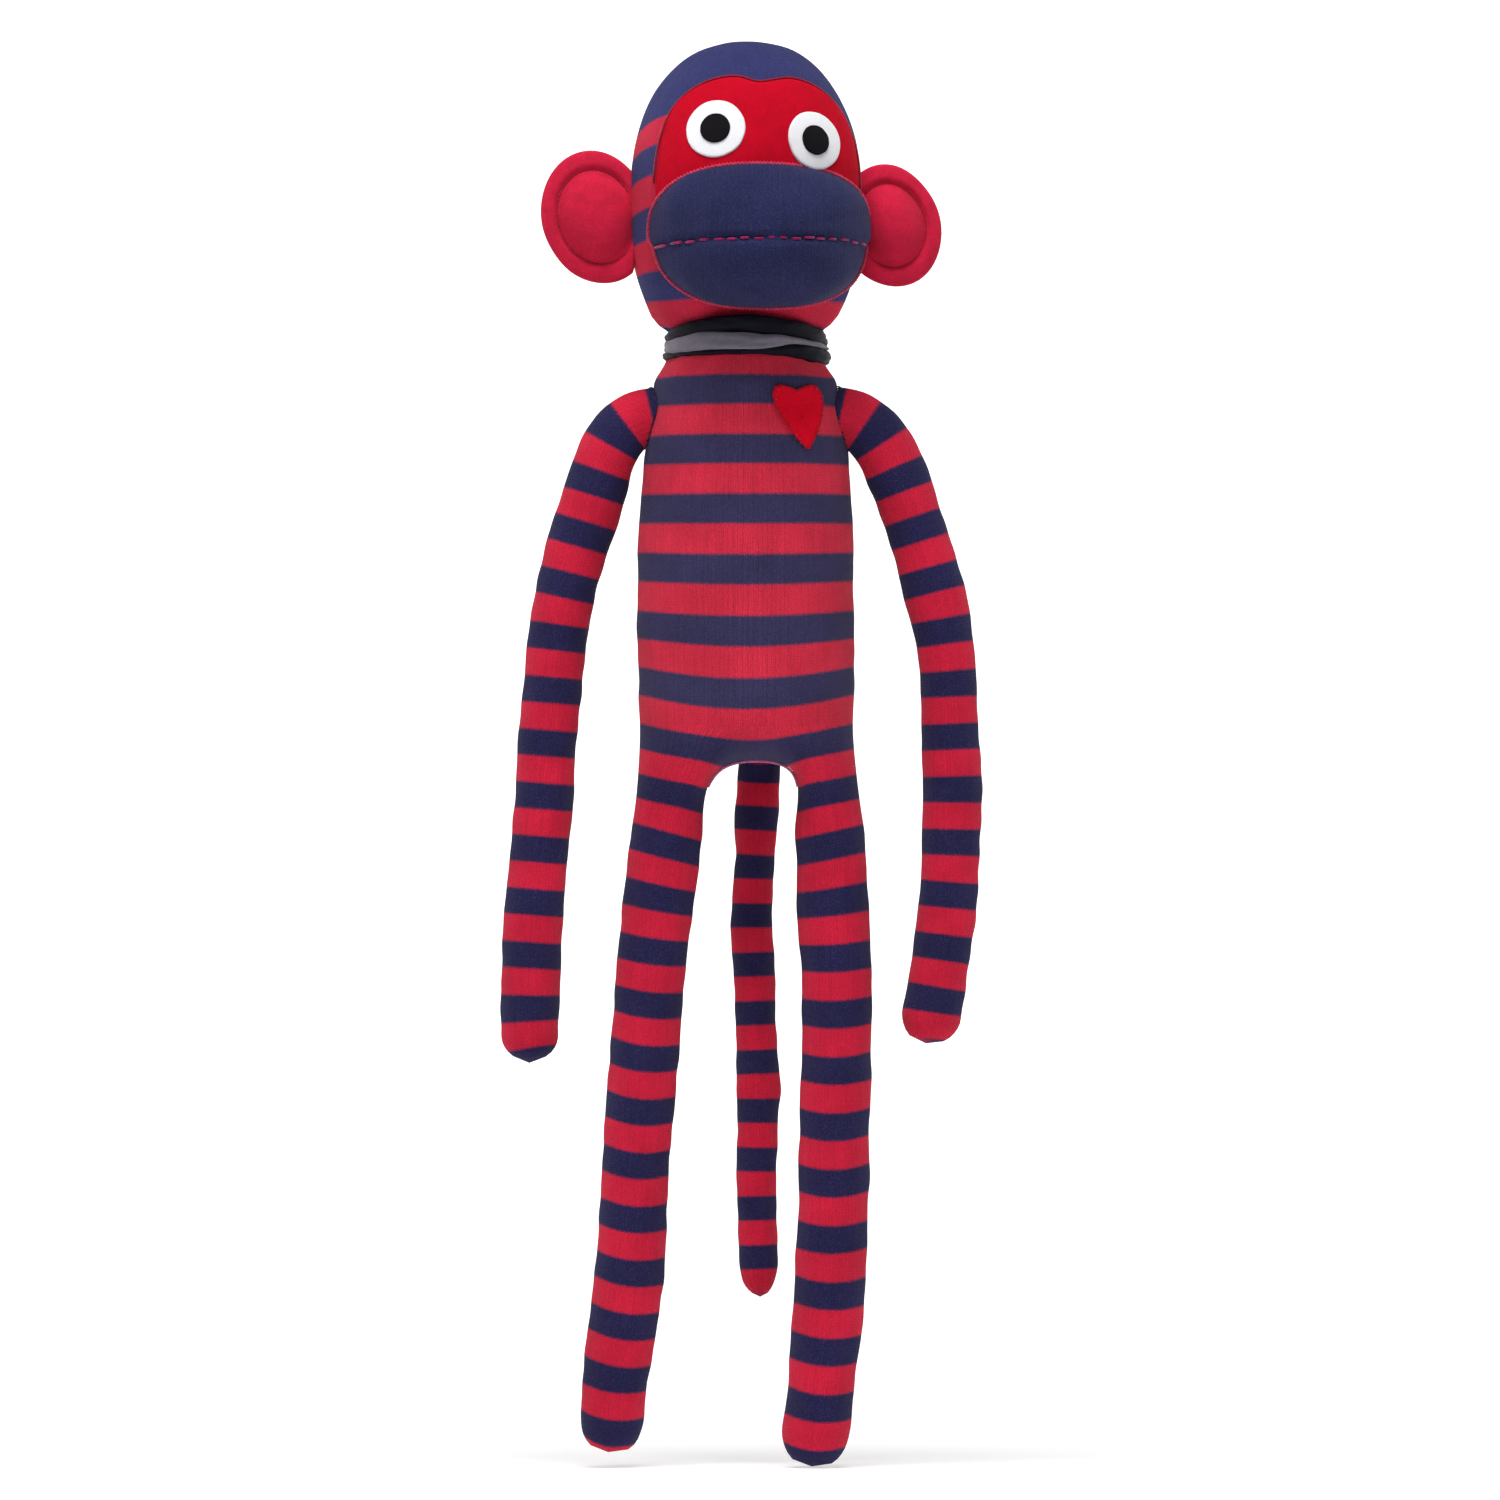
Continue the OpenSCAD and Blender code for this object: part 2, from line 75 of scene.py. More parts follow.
def H(h):
    """Height above the lowest toe, in mm, as a z in the row frame."""
    return TOE + h * MM


def smooth(x, a, b):
    t = np.clip((np.asarray(x, float) - a) / (b - a), 0, 1)
    return t * t * (3 - 2 * t)


def bump_at(x, middle, width):
    return np.exp(-(((np.asarray(x, float) - middle) / width) ** 2))


def around(n):
    """Angles of n even steps round a ring."""
    return 2 * math.pi * np.arange(n) / n


def unit(v):
    return v / np.linalg.norm(v, axis=-1, keepdims=True)


def place(o, body, slot, *nodes):
    """A piece rides on a body and stands for CAD nodes; slot is not used."""
    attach(o, body)
    if nodes:
        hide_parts(*nodes)


def bend(o, first, second, start, end, fill, *nodes):
    """A knitted, filled piece has its transform baked in and stands for CAD nodes; first, second, start, end and
    fill are not used.
    """
    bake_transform(o)
    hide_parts(*nodes)


# ---- Places from the CAD nodes --------------------------------------------------------------
SHAPES = {}


def shape(node):
    if node not in SHAPES:
        me = frame["nodes"][node].data
        co = np.zeros(len(me.vertices) * 3)
        me.vertices.foreach_get("co", co)
        ed = np.zeros(len(me.edges) * 2, int)
        me.edges.foreach_get("vertices", ed)
        SHAPES[node] = co.reshape(-1, 3), ed.reshape(-1, 2)
    return SHAPES[node]


def section(nodes, z):
    """Middle and half size of the nodes' cut by a level plane."""
    found = []
    for step in (0, 1, -1, 2, -2, 3, -3, 4, -4, 6, -6):  # past the gap between two nodes
        level = z + step * MM
        for co, ed in map(shape, nodes):
            a, b = co[ed[:, 0]], co[ed[:, 1]]
            hit = (a[:, 2] - level) * (b[:, 2] - level) < 0
            a, b = a[hit], b[hit]
            if len(a):
                found.append(a + (b - a) * ((level - a[:, 2]) / (b[:, 2] - a[:, 2]))[:, None])
        if found:
            break
    p = np.concatenate(found)
    return (p.min(0) + p.max(0)) / 2, (p.max(0) - p.min(0)) / 2


def levels_past(first, last, step, hinge):
    """Levels from first down to last, leaving out 19 mm each side of the hinge in a limb's middle."""
    z = np.arange(first, last, -step)
    return z[np.abs(z - hinge) > 0.019]


def disc_place(node):
    """Middle, the two directions in its plane and the outward one, and the radius of a disc-like node."""
    co = shape(node)[0]
    mid = (co.min(0) + co.max(0)) / 2
    _, _, rows = np.linalg.svd(co - co.mean(0), full_matrices=False)
    out = rows[2] * (-1 if rows[2][1] > 0 else 1)
    right = unit(np.cross([0, 0, 1.0], -out))
    right = right if right[0] > 0 else -right
    up = np.cross(right, -out)
    up = up if up[2] > 0 else -up
    return mid, right, up, out, np.abs((co - mid) @ up).max()


# ---- Meshes ---------------------------------------------------------------------------------
def lump(p, size, seed):
    """Smooth unevenness of about -1 to 1 over features of that size in metres."""
    rng = np.random.RandomState(seed)
    total = 0
    for _ in range(8):
        d = rng.normal(size=3)
        d *= rng.uniform(0.6, 1.5) * 2 * math.pi / size / np.linalg.norm(d)
        total = total + np.sin(p @ d + rng.uniform(0, 6.3))
    return total / 3


def mesh(name, co, faces, mat, uv=None, k=None, normals=None):
    me = bpy.data.meshes.new(name)
    me.from_pydata([tuple(c) for c in co], [], faces)
    me.update()
    me.shade_smooth()
    if uv is not None:
        layer = me.uv_layers.new(name="knit")
        layer.data.foreach_set("uv", np.asarray(uv, np.float32).ravel())
    if k is not None:
        me.attributes.new("stripe", "FLOAT", "POINT").data.foreach_set(
            "value", np.asarray(k, np.float32))
    if normals is not None:
        me.normals_split_custom_set_from_vertices([tuple(n) for n in normals])
    me.materials.append(mat)
    o = bpy.data.objects.new(name, me)
    bpy.context.scene.collection.objects.link(o)
    return o


class Tube:
    """Rows of a closed ring, each row counter-clockwise seen from above and the rows going down or
    outward. co is rows x columns x 3; u and v are the knit's own measures in mm and k its stripe count."""

    def __init__(self, co, wales, v, k):
        self.co = np.asarray(co, float)
        self.rows, self.cols = self.co.shape[:2]
        self.u = np.linspace(0, wales, self.cols + 1)
        self.v, self.k = (np.broadcast_to(np.asarray(x, float) if np.ndim(x) != 1 else np.asarray(x)[:, None],
                                          self.co.shape[:2]) for x in (v, k))

    def normals(self):
        c = self.co
        down = np.empty_like(c)
        down[1:-1] = c[2:] - c[:-2]
        down[0], down[-1] = c[1] - c[0], c[-1] - c[-2]
        n = np.cross(down, np.roll(c, -1, 1) - np.roll(c, 1, 1))
        return n / np.maximum(np.linalg.norm(n, axis=2, keepdims=True), 1e-12)

    def push(self, amount):
        self.co = self.co + self.normals() * np.asarray(amount)[..., None]

    def piece(self, name, mat, first=0, last=None, tip=None, top=None):
        last = self.rows - 1 if last is None else last
        n = self.cols
        co = self.co[first:last + 1].reshape(-1, 3)
        nor = self.normals()[first:last + 1].reshape(-1, 3)
        k = self.k[first:last + 1].reshape(-1)
        faces, uv = [], []
        for j in range(last - first):
            v0, v1 = self.v[first + j], self.v[first + j + 1]
            for i in range(n):
                e = (i + 1) % n
                faces.append((j * n + i, j * n + n + i, j * n + n + e, j * n + e))
                uv += [(self.u[i], v0[i]), (self.u[i], v1[i]),
                       (self.u[i + 1], v1[e]), (self.u[i + 1], v0[e])]
        for pole, row, at in ((tip, last - first, last), (top, 0, first)):
            if pole is None:
                continue
            co, nor = np.vstack([co, pole[0]]), np.vstack([nor, pole[1]])
            k = np.append(k, self.k[at].mean())
            for i in range(n):
                e = (i + 1) % n
                ring = (row * n + i, row * n + e) if row == 0 else (row * n + e, row * n + i)
                faces.append((ring[0], ring[1], len(co) - 1))
                uv += [(self.u[i], self.v[at][i]), (self.u[i + 1], self.v[at][e]),
                       (self.u[i], self.v[at][i])]
        return mesh(name, co, faces, mat, uv, k, nor)


def points_of(o):
    co = np.zeros(len(o.data.vertices) * 3)
    o.data.vertices.foreach_get("co", co)
    return co.reshape(-1, 3)


def weld(objs, soften=None, rounds=30):
    """One smooth skin over pieces that share border points: soften(points) is how far each is relaxed."""
    cos, loops, counts = [], [], []
    offset = 0
    for o in objs:
        cos.append(points_of(o))
        count = np.zeros(len(o.data.vertices))
        o.data.attributes["stripe"].data.foreach_get("value", count)
        counts.append(count)
        for poly in o.data.polygons:
            v = [i + offset for i in poly.vertices]
            loops.append(v if len(v) == 4 else v + v[-1:])
        offset += len(o.data.vertices)
    every = np.concatenate(cos)
    _, first, same = np.unique(np.round(every / 2e-6).astype(int), axis=0, return_index=True,
                               return_inverse=True)
    same = same.ravel()
    p = np.concatenate([every, np.concatenate(counts)[:, None]], 1)[first]
    quads = same[np.array(loops)]
    if soften is not None:
        edges = np.concatenate([quads[:, [i, (i + 1) % 4]] for i in range(4)])
        edges = edges[edges[:, 0] != edges[:, 1]]
        weight = np.asarray(soften(p))[:, None] * 0.5
        touching = np.zeros(len(p))
        np.add.at(touching, edges.ravel(), 1)
        for _ in range(rounds):
            total = np.zeros_like(p)
            np.add.at(total, edges[:, 0], p[edges[:, 1]])
            np.add.at(total, edges[:, 1], p[edges[:, 0]])
            p = p + (total / touching[:, None] - p) * weight
    p, k = p[:, :3], p[:, 3]
    face = np.cross(p[quads[:, 2]] - p[quads[:, 0]], p[quads[:, 3]] - p[quads[:, 1]])
    n = np.zeros_like(p)
    for i in range(4):
        np.add.at(n, quads[:, i], face)
    n /= np.maximum(np.linalg.norm(n, axis=1, keepdims=True), 1e-15)
    offset = 0
    for o, co in zip(objs, cos):
        mine = same[offset:offset + len(co)]
        o.data.vertices.foreach_set("co", p[mine].astype(np.float32).ravel())
        o.data.attributes["stripe"].data.foreach_set("value", k[mine].astype(np.float32))
        o.data.update()
        o.data.normals_split_custom_set_from_vertices([tuple(x) for x in n[mine]])
        offset += len(co)


def rings(path, radius, angles, squash):
    """Rings round a path, each square to it, with angles counted from the front."""
    along = unit(np.gradient(path, axis=0))
    forward = np.array([0, -1.0, 0])
    front = unit(forward - along * (along @ forward)[:, None])
    right = np.cross(along, front)
    return path[:, None] + radius[:, None, None] * (
        np.cos(angles)[None, :, None] * front[:, None] * squash
        - np.sin(angles)[None, :, None] * right[:, None])


def arc(path):
    return np.r_[0, np.cumsum(np.linalg.norm(np.diff(path, axis=0), axis=1))]


def respace(path, step, extra=()):
    """The path at even steps, smoothed, with other rows of numbers carried along."""
    path = np.asarray(path, float)
    s = arc(path)
    n = max(int(round(s[-1] / step)), 4)
    at = np.linspace(0, s[-1], n + 1)
    rows = [np.interp(at, s, x) for x in list(path.T) + [np.asarray(e, float) for e in extra]]
    kernel = np.hanning(13)[1:-1]
    kernel /= kernel.sum()
    out = []
    for x in rows:
        padded = np.concatenate([2 * x[0] - x[5:0:-1], x, 2 * x[-1] - x[-2:-7:-1]])
        out.append(np.convolve(padded, kernel, "valid"))
    return np.array(out[:3]).T, out[3:], at


def thread(name, points, r, mat, closed=False, sides=6):
    p = np.asarray(points, float)
    n = len(p)
    d = np.roll(p, -1, 0) - np.roll(p, 1, 0) if closed else np.gradient(p, axis=0)
    d /= np.maximum(np.linalg.norm(d, axis=1, keepdims=True), 1e-12)
    ref = np.array([0.31, 0.2, 0.93]) if abs(d[:, 2]).mean() < 0.8 else np.array([0.9, 0.3, 0.1])
    a = unit(np.cross(d, ref))
    b = np.cross(d, a)
    t = around(sides)
    radius = np.broadcast_to(np.asarray(r, float), (n,))[:, None, None]
    co = p[:, None] + radius * (np.cos(t)[None, :, None] * a[:, None]
                                + np.sin(t)[None, :, None] * b[:, None])
    faces = []
    for j in range(n if closed else n - 1):
        m = (j + 1) % n
        for i in range(sides):
            e = (i + 1) % sides
            faces.append((j * sides + i, j * sides + e, m * sides + e, m * sides + i))
    if not closed:
        faces += [tuple(range(sides))[::-1], tuple(range((n - 1) * sides, n * sides))]
    return mesh(name, co.reshape(-1, 3), faces, mat)


def join(name, objs):
    """One mesh of several, materials kept."""
    bpy.ops.object.select_all(action="DESELECT")
    for o in objs:
        o.select_set(True)
    bpy.context.view_layer.objects.active = objs[0]
    bpy.ops.object.join()
    objs[0].name = objs[0].data.name = name
    return objs[0]


def stitches(name, points, mat, length, r, lift, normals, slant):
    """Short separate stitches centred on points, length in mm; slant gives each one's direction."""
    made = []
    for i, p in enumerate(points):
        p, d, n = np.asarray(p, float), np.asarray(slant[i], float), np.asarray(normals[i], float)
        t = np.linspace(-1, 1, 7)
        row = (p + np.outer(t, unit(d)) * length * MM / 2
               + np.outer((1 - t ** 2) ** 0.5 * 2 - 1, n) * lift)
        made.append(thread(f"{name}_{i}", row, r * (1 - 0.25 * t ** 4), mat))
    return join(name, made)


# ---- Materials ------------------------------------------------------------------------------
class Nodes:
    def __init__(self, name):
        self.mat = bpy.data.materials.new(name)
        self.mat.use_nodes = True
        self.tree = self.mat.node_tree
        self.bsdf = self.tree.nodes["Principled BSDF"]

    def add(self, kind, **given):
        n = self.tree.nodes.new(kind)
        for key, value in given.items():
            if key.startswith("in_"):
                self.put(n.inputs[int(key[3:])] if key[3:].isdigit() else n.inputs[key[3:]], value)
            else:
                setattr(n, key, value)
        return n

    def put(self, socket, value):
        if isinstance(value, bpy.types.Node):
            self.tree.links.new(value.outputs[0], socket)
        elif isinstance(value, bpy.types.NodeSocket):
            self.tree.links.new(value, socket)
        else:
            socket.default_value = value[:3] if socket.type == "VECTOR" else value

    def math(self, op, a, b=0.0, c=0.0):
        return self.add("ShaderNodeMath", operation=op, in_0=a, in_1=b, in_2=c)

    def ramp(self, x, lo, hi, to_lo=0.0, to_hi=1.0):
        n = self.add("ShaderNodeMapRange", interpolation_type="SMOOTHSTEP")
        for i, value in enumerate((x, lo, hi, to_lo, to_hi)):
            self.put(n.inputs[i], value)
        return n

    def noise(self, scale, detail=2.0, rough=0.5, vector=None, stretch=None):
        n = self.add("ShaderNodeTexNoise")
        n.inputs["Scale"].default_value = scale
        n.inputs["Detail"].default_value = detail
        n.inputs["Roughness"].default_value = rough
        source = vector or self.add("ShaderNodeTexCoord").outputs["Object"]
        if stretch:
            m = self.add("ShaderNodeMapping")
            m.inputs["Scale"].default_value = stretch
            self.tree.links.new(source, m.inputs["Vector"])
            source = m.outputs[0]
        self.tree.links.new(source, n.inputs["Vector"])
        return n.outputs[0]

    def cloth(self):
        """The knit's own place on the cloth in mm: as one vector, and its u and v."""
        uv = self.add("ShaderNodeUVMap", uv_map="knit").outputs[0]
        xyz = self.add("ShaderNodeSeparateXYZ", in_0=uv)
        return uv, xyz.outputs[0], xyz.outputs[1]

    def scaled(self, color, by):
        n = self.add("ShaderNodeVectorMath", operation="SCALE")
        self.put(n.inputs[0], color)
        self.put(n.inputs["Scale"], by)
        return n.outputs[0]

    def mix(self, factor, a, b):
        n = self.add("ShaderNodeMix", data_type="RGBA")
        for socket, value in ((n.inputs[0], factor), (n.inputs[6], a), (n.inputs[7], b)):
            self.put(socket, value)
        return n.outputs[2]

    def finish(self, color, rough, height=None, distance=0.0002, strength=0.6, sheen=0.3,
               sheen_rough=0.5, tint=(1, 1, 1, 1)):
        b = self.bsdf
        self.put(b.inputs["Base Color"], color)
        b.inputs["Roughness"].default_value = rough
        b.inputs["Specular IOR Level"].default_value = 0.12
        b.inputs["Sheen Weight"].default_value = sheen
        b.inputs["Sheen Roughness"].default_value = sheen_rough
        b.inputs["Sheen Tint"].default_value = tint
        if height is not None:
            n = self.add("ShaderNodeBump")
            n.inputs["Strength"].default_value = strength
            n.inputs["Distance"].default_value = distance
            self.put(n.inputs["Height"], height)
            self.put(b.inputs["Normal"], n)
        return self.mat


def rgb(r, g, b):
    """sRGB 0-255 as a linear colour."""
    return tuple(x / 12.92 if x <= 0.04045 else ((x + 0.055) / 1.055) ** 2.4
                 for x in (r / 255, g / 255, b / 255)) + (1.0,)


WALE, COURSE = 1.35, 1.05
SHADED_LIMB_V = 200  # the knit's own length given to the arms and tail, past which their painted limb shade is full


def knit(name, navy, red, plain=False, contrast=0.26, limb=None):
    """Fine cotton jersey: V stitches in wales, yarn-dyed stripes with a heathered edge."""
    m = Nodes(name)
    uv, x, y = m.cloth()
    wob = m.noise(260, 2, 0.5)
    u = m.math("MULTIPLY_ADD", wob, 0.7, m.math("DIVIDE", x, WALE))
    v = m.math("MULTIPLY_ADD", wob, 0.5, m.math("DIVIDE", y, COURSE))
    across = m.math("FRACT", u)
    d = m.math("ABSOLUTE", m.math("MULTIPLY_ADD", across, 2.0, -1.0))  # 0 mid wale, 1 between wales
    ridge = m.math("POWER", m.math("SINE", m.math("MULTIPLY", d, math.pi)), 0.6)
    row = m.math("SINE", m.math("MULTIPLY", m.math("MULTIPLY_ADD", d, -0.8, v), 2 * math.pi))
    between = m.math("POWER", d, 5.0)
    height = m.math("MULTIPLY", ridge, m.math("MULTIPLY_ADD", row, 0.22, 0.72))
    height = m.math("MULTIPLY_ADD", between, -0.35, height)
    fuzz = m.noise(5200, 3, 0.65)
    height = m.math("MULTIPLY_ADD", fuzz, 0.5, height)
    fleck = m.ramp(m.noise(2100, 3, 0.8, stretch=(1, 1, 1.6)), 0.5, 0.66, 0, 0.34)
    if limb:
        # painted shade: from v 135 to 185 mm the knit fades to the darker limb colours, the lower parts' shade
        # under the overhead light
        limb_shade_ramp = m.ramp(y, 135, 185)
        navy, red = m.mix(limb_shade_ramp, navy, limb[0]), m.mix(limb_shade_ramp, red, limb[1])
    navy = m.mix(fleck, navy, rgb(104, 84, 120))
    if plain:
        base = navy
    else:
        k = m.add("ShaderNodeAttribute", attribute_name="stripe")
        rough_edge = m.noise(900, 2, 0.6)
        edge = m.math("MULTIPLY_ADD", m.math("SUBTRACT", rough_edge, 0.5), 0.09, k.outputs["Fac"])
        edge = m.math("MULTIPLY_ADD", row, 0.018, edge)
        wave = m.math("SINE", m.math("MULTIPLY", edge, math.pi))
        base = m.mix(m.ramp(wave, -0.2, 0.2), red, navy)
    # painted shade: the colour darkens with the bump height, lowest in the hollows between wales and stitches
    shade = m.math("MULTIPLY_ADD", height, contrast, 1.0 - contrast * 0.75)
    heather = m.ramp(m.noise(1500, 3, 0.7, stretch=(1, 1, 2.2)), 0.3, 0.7, 0.8, 1.18)
    worn = m.ramp(m.noise(38, 3, 0.6), 0.3, 0.7, 0.9, 1.08)
    wales = m.ramp(m.noise(1.0, 2, 0.5, vector=uv, stretch=(0.9, 0.03, 1)), 0.3, 0.7, 0.94, 1.05)
    total = m.math("MULTIPLY", m.math("MULTIPLY", shade, heather), m.math("MULTIPLY", worn, wales))
    return m.finish(m.scaled(base, total), 0.88, height, 0.00034, 0.7, sheen=0.04, sheen_rough=0.4,
                    tint=(0.85, 0.85, 1, 1))


def felt(name, color, variation=0.16, sheen=0.0, tint=(1, 0.9, 0.9, 1)):
    m = Nodes(name)
    long = m.noise(1300, 5, 0.75, stretch=(1, 1, 1.7))
    fine = m.noise(4200, 4, 0.7)
    clump = m.noise(160, 3, 0.55)
    height = m.math("ADD", m.math("MULTIPLY", long, 0.7),
                    m.math("MULTIPLY_ADD", fine, 0.4, m.math("MULTIPLY", clump, 0.8)))
    shade = m.math("MULTIPLY", m.ramp(long, 0.3, 0.7, 1 - variation, 1 + variation),
                   m.ramp(clump, 0.3, 0.7, 1 - variation / 2, 1 + variation / 2))
    return m.finish(m.scaled(color, shade), 0.92, height, 0.0005, 0.7, sheen=sheen, tint=tint)


def cotton(name, color):
    m = Nodes(name)
    wave = m.noise(900, 3, 0.6)
    bright = m.scaled(color, m.ramp(wave, 0.3, 0.7, 0.75, 1.2))
    return m.finish(bright, 0.7, wave, 0.0002, 0.5, sheen=0.2)


def woven(name, color, sheen):
    """Close plain weave with a slight lustre."""
    m = Nodes(name)
    a, b = (m.math("SINE", m.math("MULTIPLY", x, 2 * math.pi / 0.55)) for x in m.cloth()[1:])
    weave = m.math("MULTIPLY", a, b)
    cloud = m.noise(300, 4, 0.6)
    height = m.math("MULTIPLY_ADD", cloud, 1.5, m.math("MULTIPLY", weave, 0.4))
    bright = m.scaled(color, m.ramp(height, 0.0, 1.6, 0.75, 1.25))
    return m.finish(bright, 0.55, height, 0.0002, 0.4, sheen=sheen)


NAVY, RED = rgb(53, 51, 87), rgb(213, 46, 70)
# the limb colours are the same knit painted darker: painted shade on the arms, legs and tail
KNIT = knit("knit_striped", NAVY, RED, limb=(rgb(32, 32, 74), rgb(210, 32, 62)))
KNIT_HEAD = knit("knit_head", rgb(48, 53, 104), rgb(200, 36, 64))
KNIT_MUZZLE = knit("knit_muzzle", rgb(32, 38, 78), RED, plain=True, contrast=0.18)
FELT_EAR = felt("felt_ear", rgb(196, 28, 60), sheen=0.03)
FELT_FACE = felt("felt_face", rgb(187, 0, 31), variation=0.1)
FELT_HEART = felt("felt_heart", rgb(213, 0, 34), variation=0.12)
FELT_WHITE = felt("felt_white", rgb(236, 236, 240), variation=0.04, sheen=0.1, tint=(1, 1, 1, 1))
FELT_BLACK = felt("felt_black", rgb(16, 13, 18), variation=0.25, sheen=0.02, tint=(1, 1, 1, 1))
TIE_DARK = woven("tie_dark", rgb(4, 4, 20), 0.0)
TIE_GREY = woven("tie_grey", rgb(112, 107, 120), 0.2)
THREAD_NAVY = cotton("thread_navy", rgb(24, 22, 46))
THREAD_CRIMSON = cotton("thread_crimson", rgb(188, 52, 88))
THREAD_MAGENTA = cotton("thread_magenta", rgb(146, 14, 84))
THREAD_RED = cotton("thread_red", rgb(140, 12, 36))
THREAD_MAUVE = cotton("thread_mauve", rgb(196, 112, 160))


# ---- Stripe counts --------------------------------------------------------------------------
def stripes_of_trunk(h):
    """Bands counted down from the first navy one under the tie; even numbers are navy."""
    first, pitch, growth = 436.2, 11.72, 0.04
    k = (-pitch + np.sqrt(np.maximum(pitch ** 2 + 4 * growth * (first - h), 1))) / (2 * growth)
    return k


def trunk_sag(x, h):
    """How far a stripe's middle hangs below its sides, in mm."""
    depth = np.interp(h, [296, 305, 340, 380, 430], [7.2, 6.4, 2.4, 0, -1.6])
    return depth * np.minimum((np.asarray(x) / 43) ** 2, 1.1)


# ---- Trunk and legs -------------------------------------------------------------------------
OUTER, FRONT, WEB_ROWS = 34, 6, 24
FORK_H, CROTCH_H, LEG_H = 297, 281.5, 256
GAP = (-7.4, 15.6)  # the web between the legs, mm from the trunk's middle plane


TRUNK = {}


def trunk_half(h):
    """Middle and half sizes of the trunk at a height, from its CAD skin, drawn in under the tie."""
    key = round(float(h), 1)
    if key not in TRUNK:
        mid, half = section(["torso_skin"], H(min(max(key, 290), 424)))
        rx, ry = (np.interp(key, (424, 434, 441, 447), ends) for ends in (
            (half[0], 0.0362, 0.0322, 0.0302), (half[1], 0.0300, 0.0285, 0.0272)))
        TRUNK[key] = mid, float(rx), float(ry)
    return TRUNK[key]


def trunk_ring(h):
    """Points of the trunk's ring at a height: the front gap, her left side, the back gap, her right side."""
    mid, rx, ry = trunk_half(h)
    lo, hi = (math.asin(g * MM / 0.0435) for g in GAP)
    a = np.concatenate([
        np.linspace(lo, hi, FRONT + 1)[:-1], np.linspace(hi, math.pi - hi, OUTER + 1)[:-1],
        np.linspace(math.pi - hi, math.pi - lo, FRONT + 1)[:-1],
        np.linspace(math.pi - lo, 2 * math.pi + lo, OUTER + 1)[:-1]])
    e = 2 / 2.15
    s, c = np.sin(a), np.cos(a)
    return np.stack([mid[0] + rx * np.sign(s) * np.abs(s) ** e,
                     mid[1] - ry * np.sign(c) * np.abs(c) ** e,
                     np.full(len(a), H(h))], 1)


def trunk():
    heights = np.arange(447, FORK_H - 0.1, -2.0)
    co = np.array([trunk_ring(h) for h in heights])
    x, h = co[:, :, 0] / MM, (co[:, :, 2] - TOE) / MM
    k = stripes_of_trunk(h - trunk_sag(x, h))
    t = Tube(co, 178 * WALE, 447 - heights, k)
    p = t.co
    gather = smooth(h, 425, 445) * np.sin(np.arange(t.cols) * 2 * math.pi * 9 / t.cols + 1.3)[None]
    fade = smooth(h, FORK_H + 1, FORK_H + 14)
    t.push((lump(p, 0.05, 3) * 0.0005 + lump(p, 0.018, 4) * 0.0002) * fade + gather * 0.0004)
    return t


